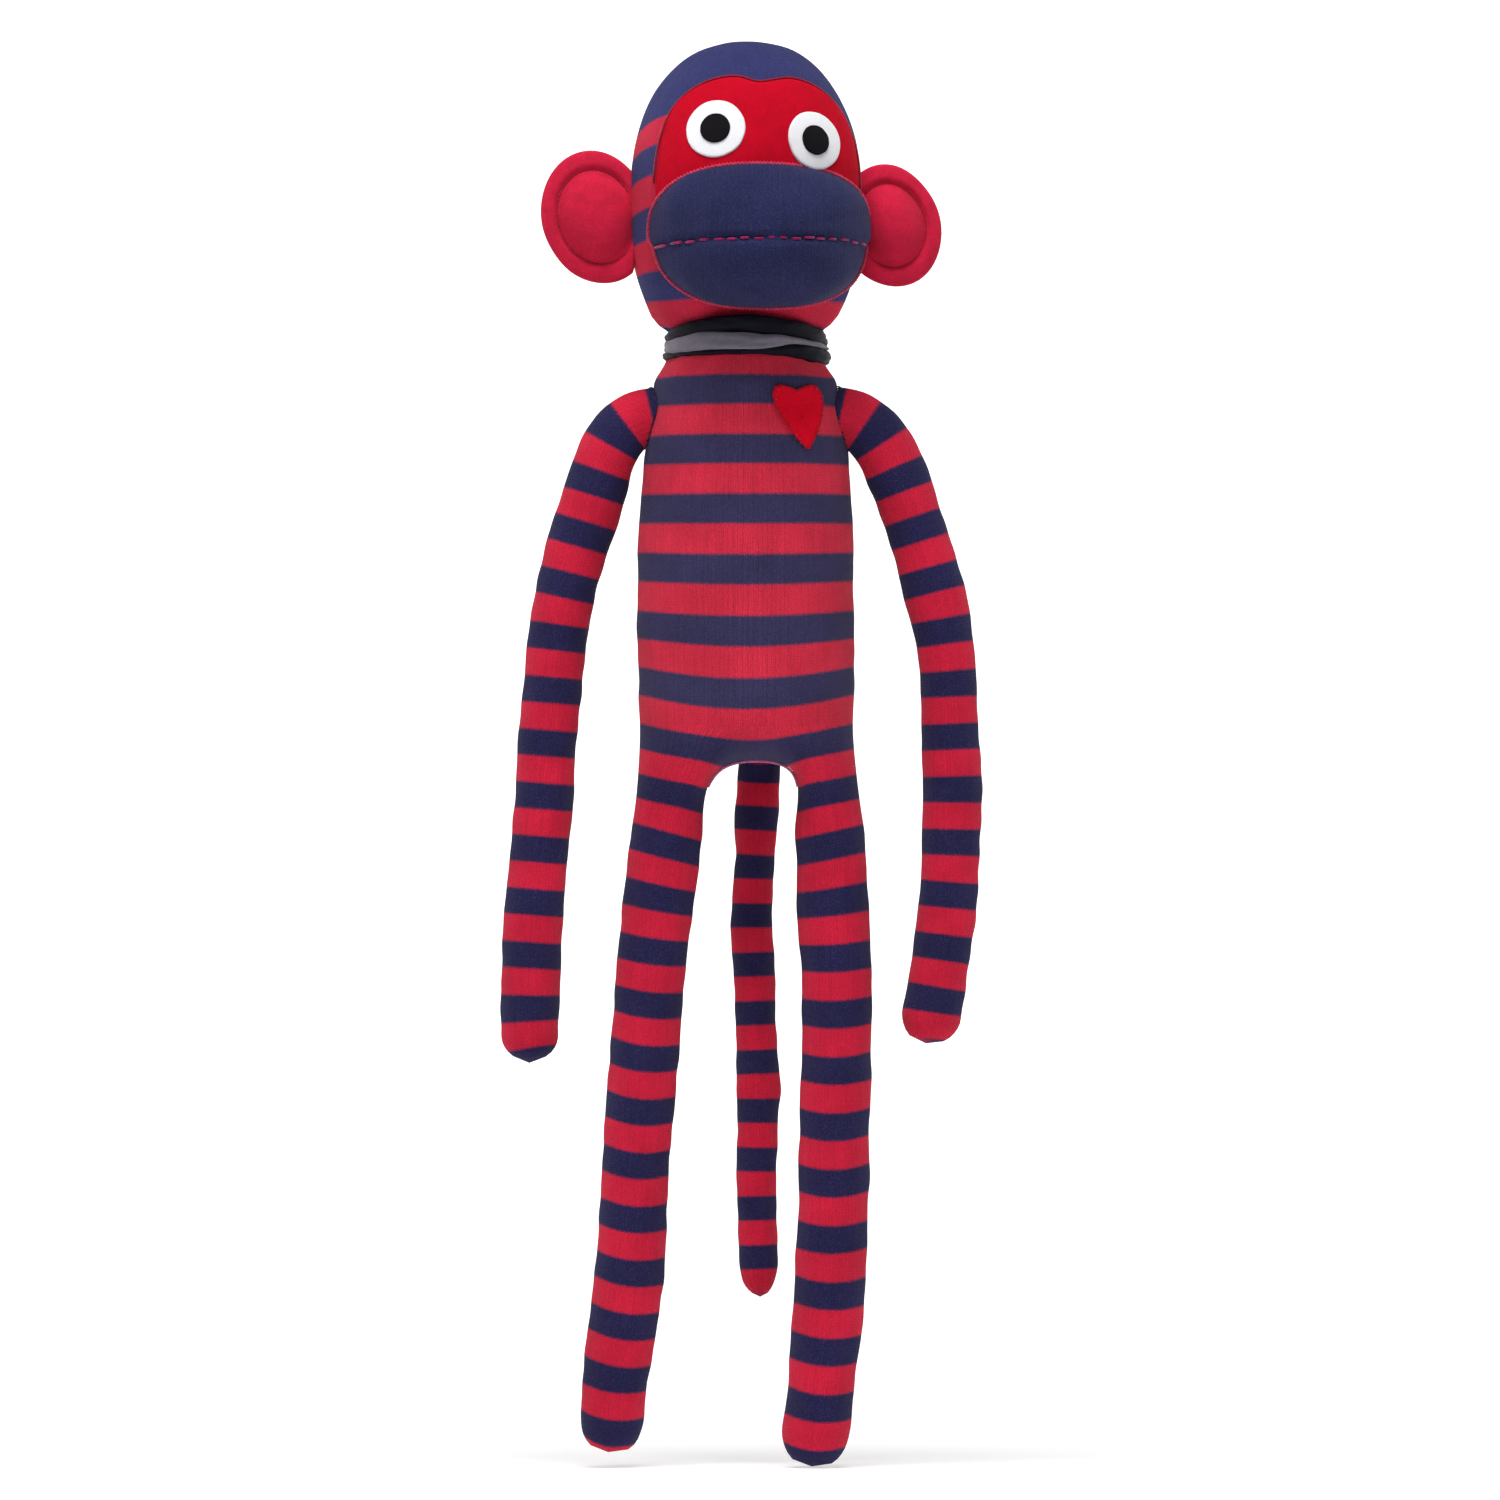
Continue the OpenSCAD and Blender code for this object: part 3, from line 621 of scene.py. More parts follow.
def leg(side, top, pitch):
    """Fork of one leg from the trunk's lowest ring and the web, then its tube to the toe."""
    s = SIDES[side]
    ring = top.co[-1]
    a, b = FRONT, FRONT + OUTER
    web = web_edge(top, s)
    if s > 0:
        outer = ring[a:b + 1]
        start = np.concatenate([outer, web[::-1][1:-1]])
        k0 = np.concatenate([top.k[-1][a:b + 1], web_stripes(web[::-1][1:-1])])
        first = math.radians(-15.5)
    else:
        idx = np.arange(b + FRONT, b + FRONT + OUTER + 1) % top.cols
        outer = ring[idx]
        start = np.concatenate([outer, web[1:-1]])
        k0 = np.concatenate([top.k[-1][idx], web_stripes(web[1:-1])])
        first = math.radians(164.5)
    n = len(start)
    nodes = [f"thigh_skin_{side}", f"shin_skin_{side}"]
    toe = min(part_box(nodes[1])[0].z, H(30))
    levels = levels_past(H(LEG_H), toe + 0.012, 0.003, JOINT[f"knee_bend_{side}"].z)
    cuts = [section(nodes, z) for z in levels]
    path = [np.array([c[0][0], c[0][1], z]) for c, z in zip(cuts, levels)]
    r = [c[1][0] for c in cuts]
    slope = path[-1] - path[-4]
    slope /= np.linalg.norm(slope)
    reach = (path[-1][2] - toe) / -slope[2]
    path.append(path[-1] + slope * reach)
    r.append(r[-1])
    path, (r,), at = respace(path, 0.0021, [r])
    r = np.minimum(r, 0.0142)
    end = np.clip((at[-1] - at) / 0.0140, 0, 1)
    r = r * np.maximum(1 - (1 - end) ** 2.3, 0) ** (1 / 2.3)
    tilt = (3.6 * smooth(-at, -0.06, 0) + 0.8) * MM  # the inner end of a stripe hangs lower
    angles = first + 2 * math.pi * np.arange(n) / n
    tube = rings(path, r, angles, 0.98)
    k_b = 15.8 + at / MM / pitch
    sag = 2.3 * smooth(at, 0.0, 0.12)  # and lower in front towards the foot
    lean = (np.sin(angles)[None] * s * tilt[:, None] / MM / 2 + np.sin(angles)[None] ** 2 * sag[:, None]) / pitch
    k = k_b[:, None] + lean
    # the fork
    t_a = np.tile([0, 0, -1.0], (n, 1))
    inner = np.arange(n) >= OUTER + 1
    q = np.sin(math.pi * (np.arange(n) - OUTER) / (n - OUTER))
    t_a[inner] = np.stack([s * 0.8 * q[inner] ** 0.7, 0 * q[inner], 0.75 * q[inner] - 1.15], 1)
    t_a = unit(t_a)
    t_b = unit(np.gradient(path, axis=0))[0]
    span = np.linalg.norm(tube[0] - start, axis=1)[:, None]
    rows, ks = [], []
    steps = 16
    for i in range(steps):
        t = i / steps
        h00, h10 = 2 * t ** 3 - 3 * t ** 2 + 1, t ** 3 - 2 * t ** 2 + t
        h01, h11 = -2 * t ** 3 + 3 * t ** 2, t ** 3 - t ** 2
        rows.append(h00 * start + h10 * span * t_a + h01 * tube[0] + h11 * span * t_b)
        ks.append(k0 + (k[0] - k0) * t)
    co = np.concatenate([rows, tube])
    k = np.concatenate([ks, k])
    # the legs' v starts at 150, so the painted limb shade fades in across the fork
    v = np.concatenate([150 + np.linspace(0, 41, steps + 1)[:-1], 191 + at / MM])
    out = Tube(co[:-1], 66 * WALE, v[:-1], k[:-1])
    p = out.co
    level = p[:, :, 2].mean(1)
    fade = smooth(-level, -H(FORK_H - 6), -H(FORK_H - 26))[:, None]
    out.push((lump(p, 0.042, 11 + s) * 0.0005 + lump(p, 0.016, 15 + s) * 0.00022) * fade)
    tip = (co[-1].mean(0) + slope * 0.0002, slope)
    return out, tip, level


def web_edge(top, s):
    """The web's edge on one side, front to back under the trunk."""
    ring = top.co[-1]
    a, b = (ring[FRONT], ring[FRONT + OUTER]) if s > 0 else (ring[0], ring[(2 * FRONT + OUTER) % top.cols])
    u = np.linspace(0, 1, WEB_ROWS + 1)
    y = (a[1] + b[1]) / 2 + (a[1] - b[1]) / 2 * np.cos(math.pi * u)
    z = a[2] - (FORK_H - CROTCH_H) * MM * np.sin(math.pi * u) ** 0.75
    return np.stack([a[0] + (b[0] - a[0]) * u, y, z], 1)


def web_stripes(p):
    h = (p[..., 2] - TOE) / MM
    return stripes_of_trunk(h - trunk_sag(p[..., 0] / MM, h))


def web(top):
    left, right = web_edge(top, -1), web_edge(top, 1)
    f = np.linspace(0, 1, FRONT + 1)[None, :, None]
    co = left[:, None] * (1 - f) + right[:, None] * f
    co[:, :, 2] += 0.0012 * (4 * f[:, :, 0] * (1 - f[:, :, 0])) * np.sin(
        math.pi * np.linspace(0, 1, WEB_ROWS + 1))[:, None]
    co[0], co[-1] = top.co[-1][:FRONT + 1], top.co[-1][FRONT + OUTER:2 * FRONT + OUTER + 1][::-1]
    n = FRONT + 1
    faces, uv = [], []
    for j in range(WEB_ROWS):
        for i in range(FRONT):
            faces.append((j * n + i, j * n + n + i, j * n + n + i + 1, j * n + i + 1))
            uv += [(i * 3.8, j * 2), (i * 3.8, j * 2 + 2), (i * 3.8 + 3.8, j * 2 + 2), (i * 3.8 + 3.8, j * 2)]
    flat = co.reshape(-1, 3)
    return mesh("crotch_web", flat, faces, KNIT, uv, web_stripes(flat))


def row_below(levels, h):
    return int(np.argmax(levels < H(h)))


top = trunk()
torso = top.piece("torso_knit", KNIT)
web_first = len(torso.data.vertices)
torso = join("torso_knit", [torso, web(top)])
legs = {}
for side, pitch in (("right", 10.73), ("left", 11.25)):
    tube, tip, level = leg(side, top, pitch)
    r1, r2 = row_below(level, 264), row_below(level, 200)
    legs[side] = (tube.piece(f"leg_root_{side}", KNIT, 0, r1), tube.piece(f"thigh_knit_{side}", KNIT, r1, r2),
                  tube.piece(f"shin_knit_{side}", KNIT, r2, tip=tip), tube.cols)
weld([torso] + [o for group in legs.values() for o in group[:3]],
     lambda p: smooth(-p[:, 2], -H(308), -H(294)) * smooth(p[:, 2], H(252), H(266)))
place(torso, "torso", "striped_knit", "torso_skin", "torso_stuffing")
# the hem of the slit between the legs runs down a little way inside each of them
middle = OUTER + WEB_ROWS // 2
hem_line = [points_of(legs["right"][0])[i * legs["right"][3] + middle] for i in (7, 6, 5, 4, 3, 2, 1)]
hem_line += list(points_of(torso)[web_first + WEB_ROWS // 2 * (FRONT + 1):][:FRONT + 1])
hem_line += [points_of(legs["left"][0])[i * legs["left"][3] + middle] for i in (1, 2, 3, 4, 5, 6, 7)]
for side in SIDES:
    hip, knee = JOINT[f"hip_swing_{side}"], JOINT[f"knee_bend_{side}"]
    root, upper, lower, _ = legs[side]
    bend(root, "torso", f"hip_{side}", hip + Vector((0, 0, 0.022)), hip - Vector((0, 0, 0.001)), 0.7,
         f"hip_stuffing_{side}")
    bend(upper, f"hip_{side}", f"thigh_{side}", hip - Vector((0, 0, 0.003)), hip - Vector((0, 0, 0.03)), 0.7,
         f"thigh_skin_{side}", f"thigh_stuffing_{side}")
    bend(lower, f"thigh_{side}", f"shin_{side}", knee + Vector((0, 0, 0.017)), knee - Vector((0, 0, 0.017)), 0.7,
         f"shin_skin_{side}", f"shin_stuffing_{side}")

# ---- Arms -----------------------------------------------------------------------------------
for side, s in SIDES.items():
    shoulder, elbow = JOINT[f"shoulder_swing_{side}"], JOINT[f"elbow_bend_{side}"]
    nodes = [f"upper_arm_skin_{side}", f"forearm_skin_{side}"]
    tip_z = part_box(nodes[1])[0].z
    path = [shoulder + Vector((-s * 0.0190, 0, 0.0078)), shoulder + Vector((-s * 0.0125, 0, 0.0068)),
            shoulder + Vector((-s * 0.0050, 0, 0.0030)), shoulder + Vector((s * 0.0012, 0, -0.0045))]
    r = [0.0112, 0.0116, 0.0119, 0.0121]
    for z in levels_past(shoulder.z - 0.02, tip_z + 0.012, 0.004, elbow.z):
        mid, half = section(nodes, z)
        path.append(Vector((mid[0], mid[1], z)))
        r.append(half[0] * 0.985)
    slope = (path[-1] - path[-4]).normalized()
    path.append(path[-1] + slope * ((path[-1].z - tip_z) / -slope.z))
    r.append(r[-1])
    path, (r,), at = respace(path, 0.002, [r])
    end = np.clip((at[-1] - at) / 0.0125, 0, 1)
    r = np.minimum(r, 0.0123) * np.maximum(1 - (1 - end) ** 2.2, 0) ** (1 / 2.2)
    pitch, start = (10.62, 13.1) if s < 0 else (10.55, 12.1)
    angle = around(44)
    co = rings(path, r, angle, 0.97)
    tilt = 3.2 * smooth(at, at[-1] - 0.03, at[-1]) * (1 if s < 0 else 0.6)
    k = (at / MM - start - 1.3)[:, None] / pitch + np.sin(angle)[None] * tilt[:, None] / pitch / 2
    t = Tube(co[:-1], 56 * WALE, SHADED_LIMB_V + at[:-1] / MM, k[:-1])
    p = t.co
    t.push(lump(p, 0.04, 21 + s) * 0.00045 + lump(p, 0.015, 25 + s) * 0.0002)
    level = p[:, :, 2].mean(1)
    row = int(np.argmax(level < (shoulder.z + elbow.z) / 2))
    upper = t.piece(f"arm_upper_{side}", KNIT, 0, row)
    lower = t.piece(f"arm_lower_{side}", KNIT, row, tip=(co[-1].mean(0) + np.array(slope) * 0.0002, slope))
    weld([upper, lower])
    bend(upper, f"shoulder_{side}", f"upper_arm_{side}",
         shoulder + Vector((-s * 0.010, 0, 0.008)), shoulder + Vector((s * 0.006, 0, -0.016)), 0.7,
         f"upper_arm_skin_{side}", f"upper_arm_stuffing_{side}", f"shoulder_stuffing_{side}")
    bend(lower, f"upper_arm_{side}", f"forearm_{side}",
         elbow + Vector((0, 0, 0.014)), elbow - Vector((0, 0, 0.014)), 0.7,
         f"forearm_skin_{side}", f"forearm_stuffing_{side}")
    # armhole seam: where each of the tube's columns leaves the trunk
    seam = []
    for i in range(t.cols):
        column = t.co[:, i]
        rx = np.array([trunk_half((z - TOE) / MM)[1:] for z in column[:22, 2]])
        outside = (np.abs(column[:22, 0]) / rx[:, 0]) ** 2 + (column[:22, 1] / rx[:, 1]) ** 2 > 1.0
        j = int(np.argmax(outside))
        seam.append(column[j])
    seam = np.array(seam)
    for _ in range(3):
        seam = (np.roll(seam, 1, 0) + seam * 2 + np.roll(seam, -1, 0)) / 4
    out = unit(seam - seam.mean(0))
    ring = thread(f"armhole_roll_{side}", seam - out * 0.0002, 0.00045, THREAD_NAVY, closed=True, sides=8)
    picks = seam[::2]
    whips = stitches(f"armhole_whips_{side}", picks + out[::2] * 0.0001, THREAD_NAVY, 2.2, 0.00022, 0.0003,
                     normals=out[::2], slant=[np.array([s * 1.0, 0, -0.3])] * len(picks))
    ring = join(f"armhole_seam_{side}", [ring, whips])
    place(ring, f"shoulder_{side}", "navy_thread", f"shoulder_seam_{side}")

# ---- Tail -----------------------------------------------------------------------------------
root, curl = JOINT["tail_lift"], JOINT["tail_curl"]
nodes = ["tail_upper_skin", "tail_lower_skin"]
tip_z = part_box(nodes[1])[0].z
path, r = [Vector((root.x + 0.0005, root.y - 0.004, H(289))), Vector((root.x, root.y, H(276)))], [0.0086, 0.0087]
for z in levels_past(H(258), tip_z + 0.012, 0.004, curl.z):
    mid, half = section(nodes, z)
    path.append(Vector((mid[0], mid[1], z)))
    r.append(half[0])
path.append(Vector((path[-1].x + 0.0004, path[-1].y, tip_z - 0.0012)))
r.append(r[-1])
path, (r,), at = respace(path, 0.0016, [r])
end = np.clip((at[-1] - at) / 0.015, 0, 1)
r = np.minimum(r, 0.0086) * 0.97 * np.maximum(1 - (1 - end) ** 1.9, 0) ** (1 / 1.75)
co = rings(path, r, around(36), 0.98)
first_navy = (H(289) - H(263.4)) / MM
t = Tube(co[:-1], 42 * WALE, SHADED_LIMB_V + at[:-1] / MM, (at[:-1] / MM - first_navy)[:, None] / 9.79)
t.push(lump(t.co, 0.035, 31) * 0.0005 + lump(t.co, 0.014, 32) * 0.00025)
level = t.co[:, :, 2].mean(1)
row = int(np.argmax(level < H(215)))
upper = t.piece("tail_upper_knit", KNIT, 0, row)
lower = t.piece("tail_lower_knit", KNIT, row, tip=(co[-1].mean(0), (0, 0, -1)))
weld([upper, lower])
bend(upper, "tail_root", "tail_upper", root + Vector((0, 0, 0.006)), root - Vector((0, 0, 0.010)), 0.7,
     "tail_upper_skin", "tail_upper_stuffing", "tail_root_stuffing")
bend(lower, "tail_upper", "tail_lower", curl + Vector((0, 0, 0.012)), curl - Vector((0, 0, 0.012)), 0.7,
     "tail_lower_skin", "tail_lower_stuffing")

# ---- Head -----------------------------------------------------------------------------------
HEAD_LO, HEAD_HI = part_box("head_skin")
HEAD_A, HEAD_B = (HEAD_HI.x - HEAD_LO.x) / 2, (HEAD_HI.y - HEAD_LO.y) / 2
HEAD_MID = HEAD_HI.z - 0.060
YAW = math.radians(6)


def head_share(z):
    """Width of the head at a level as a share of its widest."""
    up = (np.asarray(z, float) - HEAD_MID) / 0.060
    down = -(np.asarray(z, float) - HEAD_MID) / 0.079
    above = np.maximum(1 - np.clip(up, 0, 1) ** 2.2, 0) ** (1 / 2.2)
    below = np.maximum(1 - np.clip(down, 0, 1) ** 2.15, 0) ** (1 / 2.15)
    return np.where(up > 0, above, below)


def head_deep(z):
    """Half depth of the head: its front runs back under the chin into the tie."""
    return HEAD_B * (1 - 0.24 * smooth(-np.asarray(z, float), -H(476), -H(455)))


def head_uneven(p):
    return lump(p, 0.055, 41) * 0.0007 + lump(p, 0.02, 42) * 0.0002


def on_head(angle, z, off=0.0):
    """Point of the head at an angle round it, 0 in front and 90 degrees at her left."""
    q = head_share(z)
    p = np.stack([HEAD_A * q * np.sin(angle), -head_deep(z) * q * np.cos(angle),
                  np.broadcast_to(z, np.shape(angle))], -1)
    n = p * np.array([1 / HEAD_A ** 2, 1 / HEAD_B ** 2, 0]) + np.array([0, 0, 1]) * (p[..., 2:] - HEAD_MID) * (
        np.where(p[..., 2:] > HEAD_MID, 1 / 0.060 ** 2, 1 / 0.079 ** 2))
    return p + unit(n) * (head_uneven(p)[..., None] + off)


def head_front(x, z, off=0.0):
    """y of the head's front at a place seen from the front."""
    x, z = np.asarray(x, float), np.asarray(z, float)
    q = head_share(z)
    y = -head_deep(z) * q * np.sqrt(np.maximum(1 - (x / (HEAD_A * q)) ** 2, 0.0025))
    off = off + head_uneven(np.stack([x, y, z], -1))
    a, b = HEAD_A * q + off, head_deep(z) * q + off
    return -b * np.sqrt(np.maximum(1 - (x / a) ** 2, 0.0025))


def head_knit():
    phi = np.radians(np.linspace(86, 0, 34))
    z = list(HEAD_MID + 0.060 * np.sin(phi) ** (2 / 2.2))
    z += list(np.arange(HEAD_MID - 0.002, H(458), -0.002)) + [H(456.3), H(454.4), H(451.5), H(448), H(446)]
    z = np.array(z)
    q = head_share(z)
    low = z < H(457.5)
    q[low] = np.interp(z[low], [H(446), H(452), H(457.5)], [0.58, 0.62, head_share(H(457.5))])
    cols = 96
    a = around(cols)
    co = np.stack([HEAD_A * q[:, None] * np.sin(a), -(head_deep(z) * q)[:, None] * np.cos(a),
                   np.repeat(z[:, None], cols, 1)], 2)
    h = (z - TOE) / MM
    w = smooth(h, 462, 560)[:, None] * 0.95
    rise = np.interp(h, [462, 500, 530, 556], [0, 9.2, 14.4, 15])[:, None]  # towards the face
    level = h[:, None] - rise * np.cos(a) + w * 9 * np.sin(a)
    k = np.maximum(1 + (524 - level) / 9.8, 0.5)
    t = Tube(co, 190 * WALE, arc(np.stack([q * HEAD_A, 0 * z, z], 1)) / MM, k)
    gather = (smooth(-h, -470, -456)[:, None]
              * np.sin(np.arange(cols) * 2 * math.pi * 11 / cols + 0.6)[None])
    t.push(head_uneven(t.co) * smooth(q, 0.1, 0.4)[:, None] + gather * 0.0004)
    return t.piece("head_knit", KNIT_HEAD, top=((0, 0, HEAD_HI.z), (0, 0, 1)))


head = head_knit()
bend(head, "neck", "head", (0, 0, H(447)), (0, 0, H(463)), 0.9,
     "head_skin", "head_stuffing", "neck_skin", "neck_stuffing")


def patch(name, outline, mat, offset, rows=26):
    """Felt or cloth lying on the head: outline(t) gives (angle, low z, high z) for t from -1 to 1."""
    ts = np.sin(np.linspace(-math.pi / 2, math.pi / 2, 90))
    co, uv = [], []
    for t in ts:
        a, low, high = outline(t)
        for s in np.linspace(0, 1, rows):
            s = 0.5 - 0.5 * math.cos(math.pi * s)
            z = low + (high - low) * s
            edge = min(1, 6 * (1 - abs(t)), (high - z) / 0.0012, (z - low) / 0.0012)
            co.append(on_head(np.array(a), z, -0.0004 + (offset + 0.0004) * math.sqrt(max(edge, 0))))
    co = np.array(co)
    faces = [(i * rows + j, i * rows + rows + j, i * rows + rows + j + 1, i * rows + j + 1)
             for i in range(len(ts) - 1) for j in range(rows - 1)]
    return mesh(name, co, faces, mat)


def mask_outline(t):
    deg = 13.6 + 63.2 * t
    p = 3.8 if t < 0 else 2.5
    top_h = 512 + 43.2 * max(1 - abs(t) ** p, 0) ** (1 / p)
    top_h -= 2.9 * math.exp(-((deg - 9.5) / 11) ** 2) + 1.2 * float(smooth(deg, 10, 24))
    low = 507 - 1.5 * max(1 - abs(t) ** 6, 0)
    return math.radians(deg), H(low), H(max(top_h, low + 2))


mask = patch("face_mask", mask_outline, FELT_FACE, 0.0013)
place(mask, "head", "red_felt", "face_patch")
rim = []
for t in np.sin(np.linspace(-math.pi / 2, math.pi / 2, 220)):
    a, low, high = mask_outline(t)
    rim.append(on_head(np.array(a), high + 0.0001, 0.0006))
mask_edge = thread("mask_edge", np.array(rim), 0.00045, THREAD_RED)
place(mask_edge, "head", "crimson_thread")

# ---- Muzzle ---------------------------------------------------------------------------------
lo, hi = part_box("muzzle_skin")
MUZ_X, MUZ_Z = 0.0040, (lo.z + hi.z) / 2
MUZ_W, MUZ_H = 0.0452, (hi.z - lo.z) / 2 + 0.0004
MUZ_Y = -0.0668
turn = np.array([[math.cos(YAW), -math.sin(YAW), 0], [math.sin(YAW), math.cos(YAW), 0], [0, 0, 1]])


def muzzle_rim(a, grow=0.0):
    """The muzzle's sewn edge, seen from the turned face's front."""
    c, s = np.cos(a), np.sin(a)
    p = np.where(s > 0, 2.55, 2.45)
    r = (np.abs(c) ** p + np.abs(s) ** p) ** (-1 / p)
    chin = 1 - 0.04 * smooth(-s, 0.03, 0.22)  # the lower lip is the narrower one
    x = (MUZ_W + grow) * r * c * chin
    z = MUZ_Z + (MUZ_H + grow) * r * s * np.where(s > 0, 1 - 0.03 * c, 1.08)
    return x, z


def muzzle_point(a, t):
    """t from 0 at the middle of the front to 1 at the sewn edge."""
    x, z = muzzle_rim(a)
    e = 2 / 2.35
    radial, depth = np.sin(t * math.pi / 2) ** e, np.cos(t * math.pi / 2) ** e
    px, pz = x * radial, MUZ_Z + (z - MUZ_Z) * radial
    y_edge = head_front((x + MUZ_X) * 0.97, z, 0.0003)
    up = (pz - MUZ_Z) / MUZ_H
    y_front = MUZ_Y + 0.0085 * (px / MUZ_W) ** 2 + 0.004 * np.maximum(up, 0) ** 2
    crease = bump_at(pz - mouth_level(px), 0, 0.0016) * 0.0020 * smooth(-np.abs(px), -MUZ_W, -MUZ_W * 0.86)
    puff = 0.0012 * (bump_at(pz, MUZ_Z - 0.015, 0.011) + 0.6 * bump_at(pz, MUZ_Z + 0.012, 0.012))
    y = y_edge + (y_front - puff - y_edge) * depth + crease * smooth(depth, 0.02, 0.4)
    return np.stack([px + MUZ_X, y, pz], -1)


def mouth_level(x):
    return MUZ_Z - 0.0024 - 0.0026 * (np.asarray(x) / MUZ_W) ** 4 + 0.0004 * np.asarray(x) / MUZ_W


a = around(132)
ts = np.r_[0.02, 0.06, np.linspace(0.1, 1, 58)]
grid = np.array([muzzle_point(a, t) for t in ts])
grid = grid @ turn.T
# the knit's courses run across the muzzle, so u and v are its plain place on the cloth
muz = Tube(grid, 1, 0, 0)
muz.push(lump(muz.co, 0.03, 61) * 0.0006 * smooth(-ts, -1, -0.9)[:, None])
o = muz.piece("muzzle_knit", KNIT_MUZZLE, top=(muz.co[0].mean(0), (math.sin(YAW), -math.cos(YAW), 0)))
spot = np.array([v.co for v in o.data.vertices]) / MM
loops = np.array([l.vertex_index for l in o.data.loops])
uv = np.stack([spot[loops, 0], spot[loops, 2] + 0.45 * spot[loops, 1]], 1)
o.data.uv_layers["knit"].data.foreach_set("uv", uv.astype(np.float32).ravel())
place(o, "head", "navy_knit", "muzzle_skin", "muzzle_stuffing")
# overlocked edge: a fine roll wrapped by slanting loops
aa = np.linspace(0, 2 * math.pi, 300, endpoint=False)
ex, ez = muzzle_rim(aa, 0.0003)
edge = np.stack([ex + MUZ_X, head_front((ex + MUZ_X) * 0.97, ez, 0.0012), ez], 1) @ turn.T
out = unit(edge - np.array([0.006, -0.02, MUZ_Z]))
loop = np.repeat(edge, 6, 0)
ph = np.arange(len(loop)) * 2 * math.pi / 9.0
step = unit(np.roll(edge, -1, 0) - edge)
side_dir = np.cross(step, out)
wrap = (loop + np.repeat(step, 6, 0) * (np.tile(np.arange(6) / 6, len(edge))[:, None] * 0.0007)
        + np.cos(ph)[:, None] * np.repeat(out, 6, 0) * 0.00075
        + np.sin(ph)[:, None] * np.repeat(side_dir, 6, 0) * 0.0009)
core = thread("edge_core", edge, 0.0006, THREAD_CRIMSON, closed=True, sides=8)
wound = thread("edge_wound", wrap, 0.00026, THREAD_CRIMSON, closed=True, sides=5)
edging = join("muzzle_overlock", [core, wound])
place(edging, "head", "crimson_thread", "muzzle_edging")


def muzzle_surface(x, z):
    """Point on the muzzle's front seen at (x, z) of the turned face."""
    t_low, t_high = np.zeros_like(x), np.ones_like(x)
    ang = np.arctan2((z - MUZ_Z) / MUZ_H, x / MUZ_W)
    want = np.hypot(x / MUZ_W, (z - MUZ_Z) / MUZ_H)
    for _ in range(30):
        mid = (t_low + t_high) / 2
        p = muzzle_point(ang, mid)
        far = np.hypot((p[..., 0] - MUZ_X) / MUZ_W, (p[..., 2] - MUZ_Z) / MUZ_H) > want
        t_high, t_low = np.where(far, mid, t_high), np.where(far, t_low, mid)
    return muzzle_point(ang, (t_low + t_high) / 2) @ turn.T


mouth = []
count = 17
for i in range(count):
    pitch = 2 * MUZ_W * 0.965 / count
    x = np.linspace(0, pitch * (0.68 + 0.1 * math.sin(i * 1.9)), 11) + pitch * i - MUZ_W * 0.965
    p = muzzle_surface(x, mouth_level(x))
    w = np.linspace(-1, 1, 11)
    p[:, 1] -= 0.0008 * (1 - w ** 4) - 0.0001
    p[:, 2] += 0.00025 * math.sin(i * 2.4)
    mouth.append(thread(f"mouth_{i}", p, 0.00058 * (1 - 0.35 * w ** 4), THREAD_MAGENTA))
mouth = join("mouth_stitches", mouth)
place(mouth, "head", "crimson_thread", "mouth_stitching")

# ---- Eyes -----------------------------------------------------------------------------------


def felt_disc(name, node, mat, thick, lift):
    """A cut felt disc lying on the face where the CAD disc is."""
    mid, right, up, normal, r = disc_place(node)
    mid = mid + [-0.0010 if mid[0] < 0.005 else 0.0008, 0, -0.0012]  # pulled apart and down by the muzzle
    rho = np.r_[0.02, np.linspace(0.1, 0.9, 9), 0.94, 0.97, 0.99, 1.0, 1.0]
    drop = np.r_[np.zeros(11), 0.05, 0.2, 0.5, 1.3]
    a = around(72)
    wob = 1 + 0.006 * np.sin(3 * a + len(name)) + 0.004 * np.sin(7 * a)
    rows = []
    for q, down in zip(rho, drop):
        flat = (mid + q * r * wob[:, None] * (np.cos(a)[:, None] * right + np.sin(a)[:, None] * up))
        y = head_front(flat[:, 0], flat[:, 2], lift)
        base = np.stack([flat[:, 0], y, flat[:, 2]], 1)
        swell = thick * (1 + 0.2 * (1 - q ** 2) - down)
        rows.append(base + normal * swell)
    t = Tube(np.array(rows)[:, ::-1], 1, 0, 0)
    n = t.normals()[3].mean(0)
    if n @ normal < 0:
        t = Tube(np.array(rows), 1, 0, 0)
    return t.piece(name, mat, top=(t.co[0].mean(0), normal)), mid, right, up, normal, r


for side in SIDES:
    white, mid, right, up, normal, r = felt_disc(
        f"eye_{side}", f"eye_white_{side}", FELT_WHITE, 0.0010, 0.0012)
    black, *_ = felt_disc(f"pupil_felt_{side}", f"pupil_{side}", FELT_BLACK, 0.0009, 0.0023)
    for o, node, slot_name, size in ((white, f"eye_white_{side}", "white_felt", 2 * r),
                                     (black, f"pupil_{side}", "black_felt", 0.0124)):
        place(o, "head", slot_name, node)

# ---- Ears -----------------------------------------------------------------------------------
GROOVE = 7.6  # mm from the ear's rim to the topstitched groove


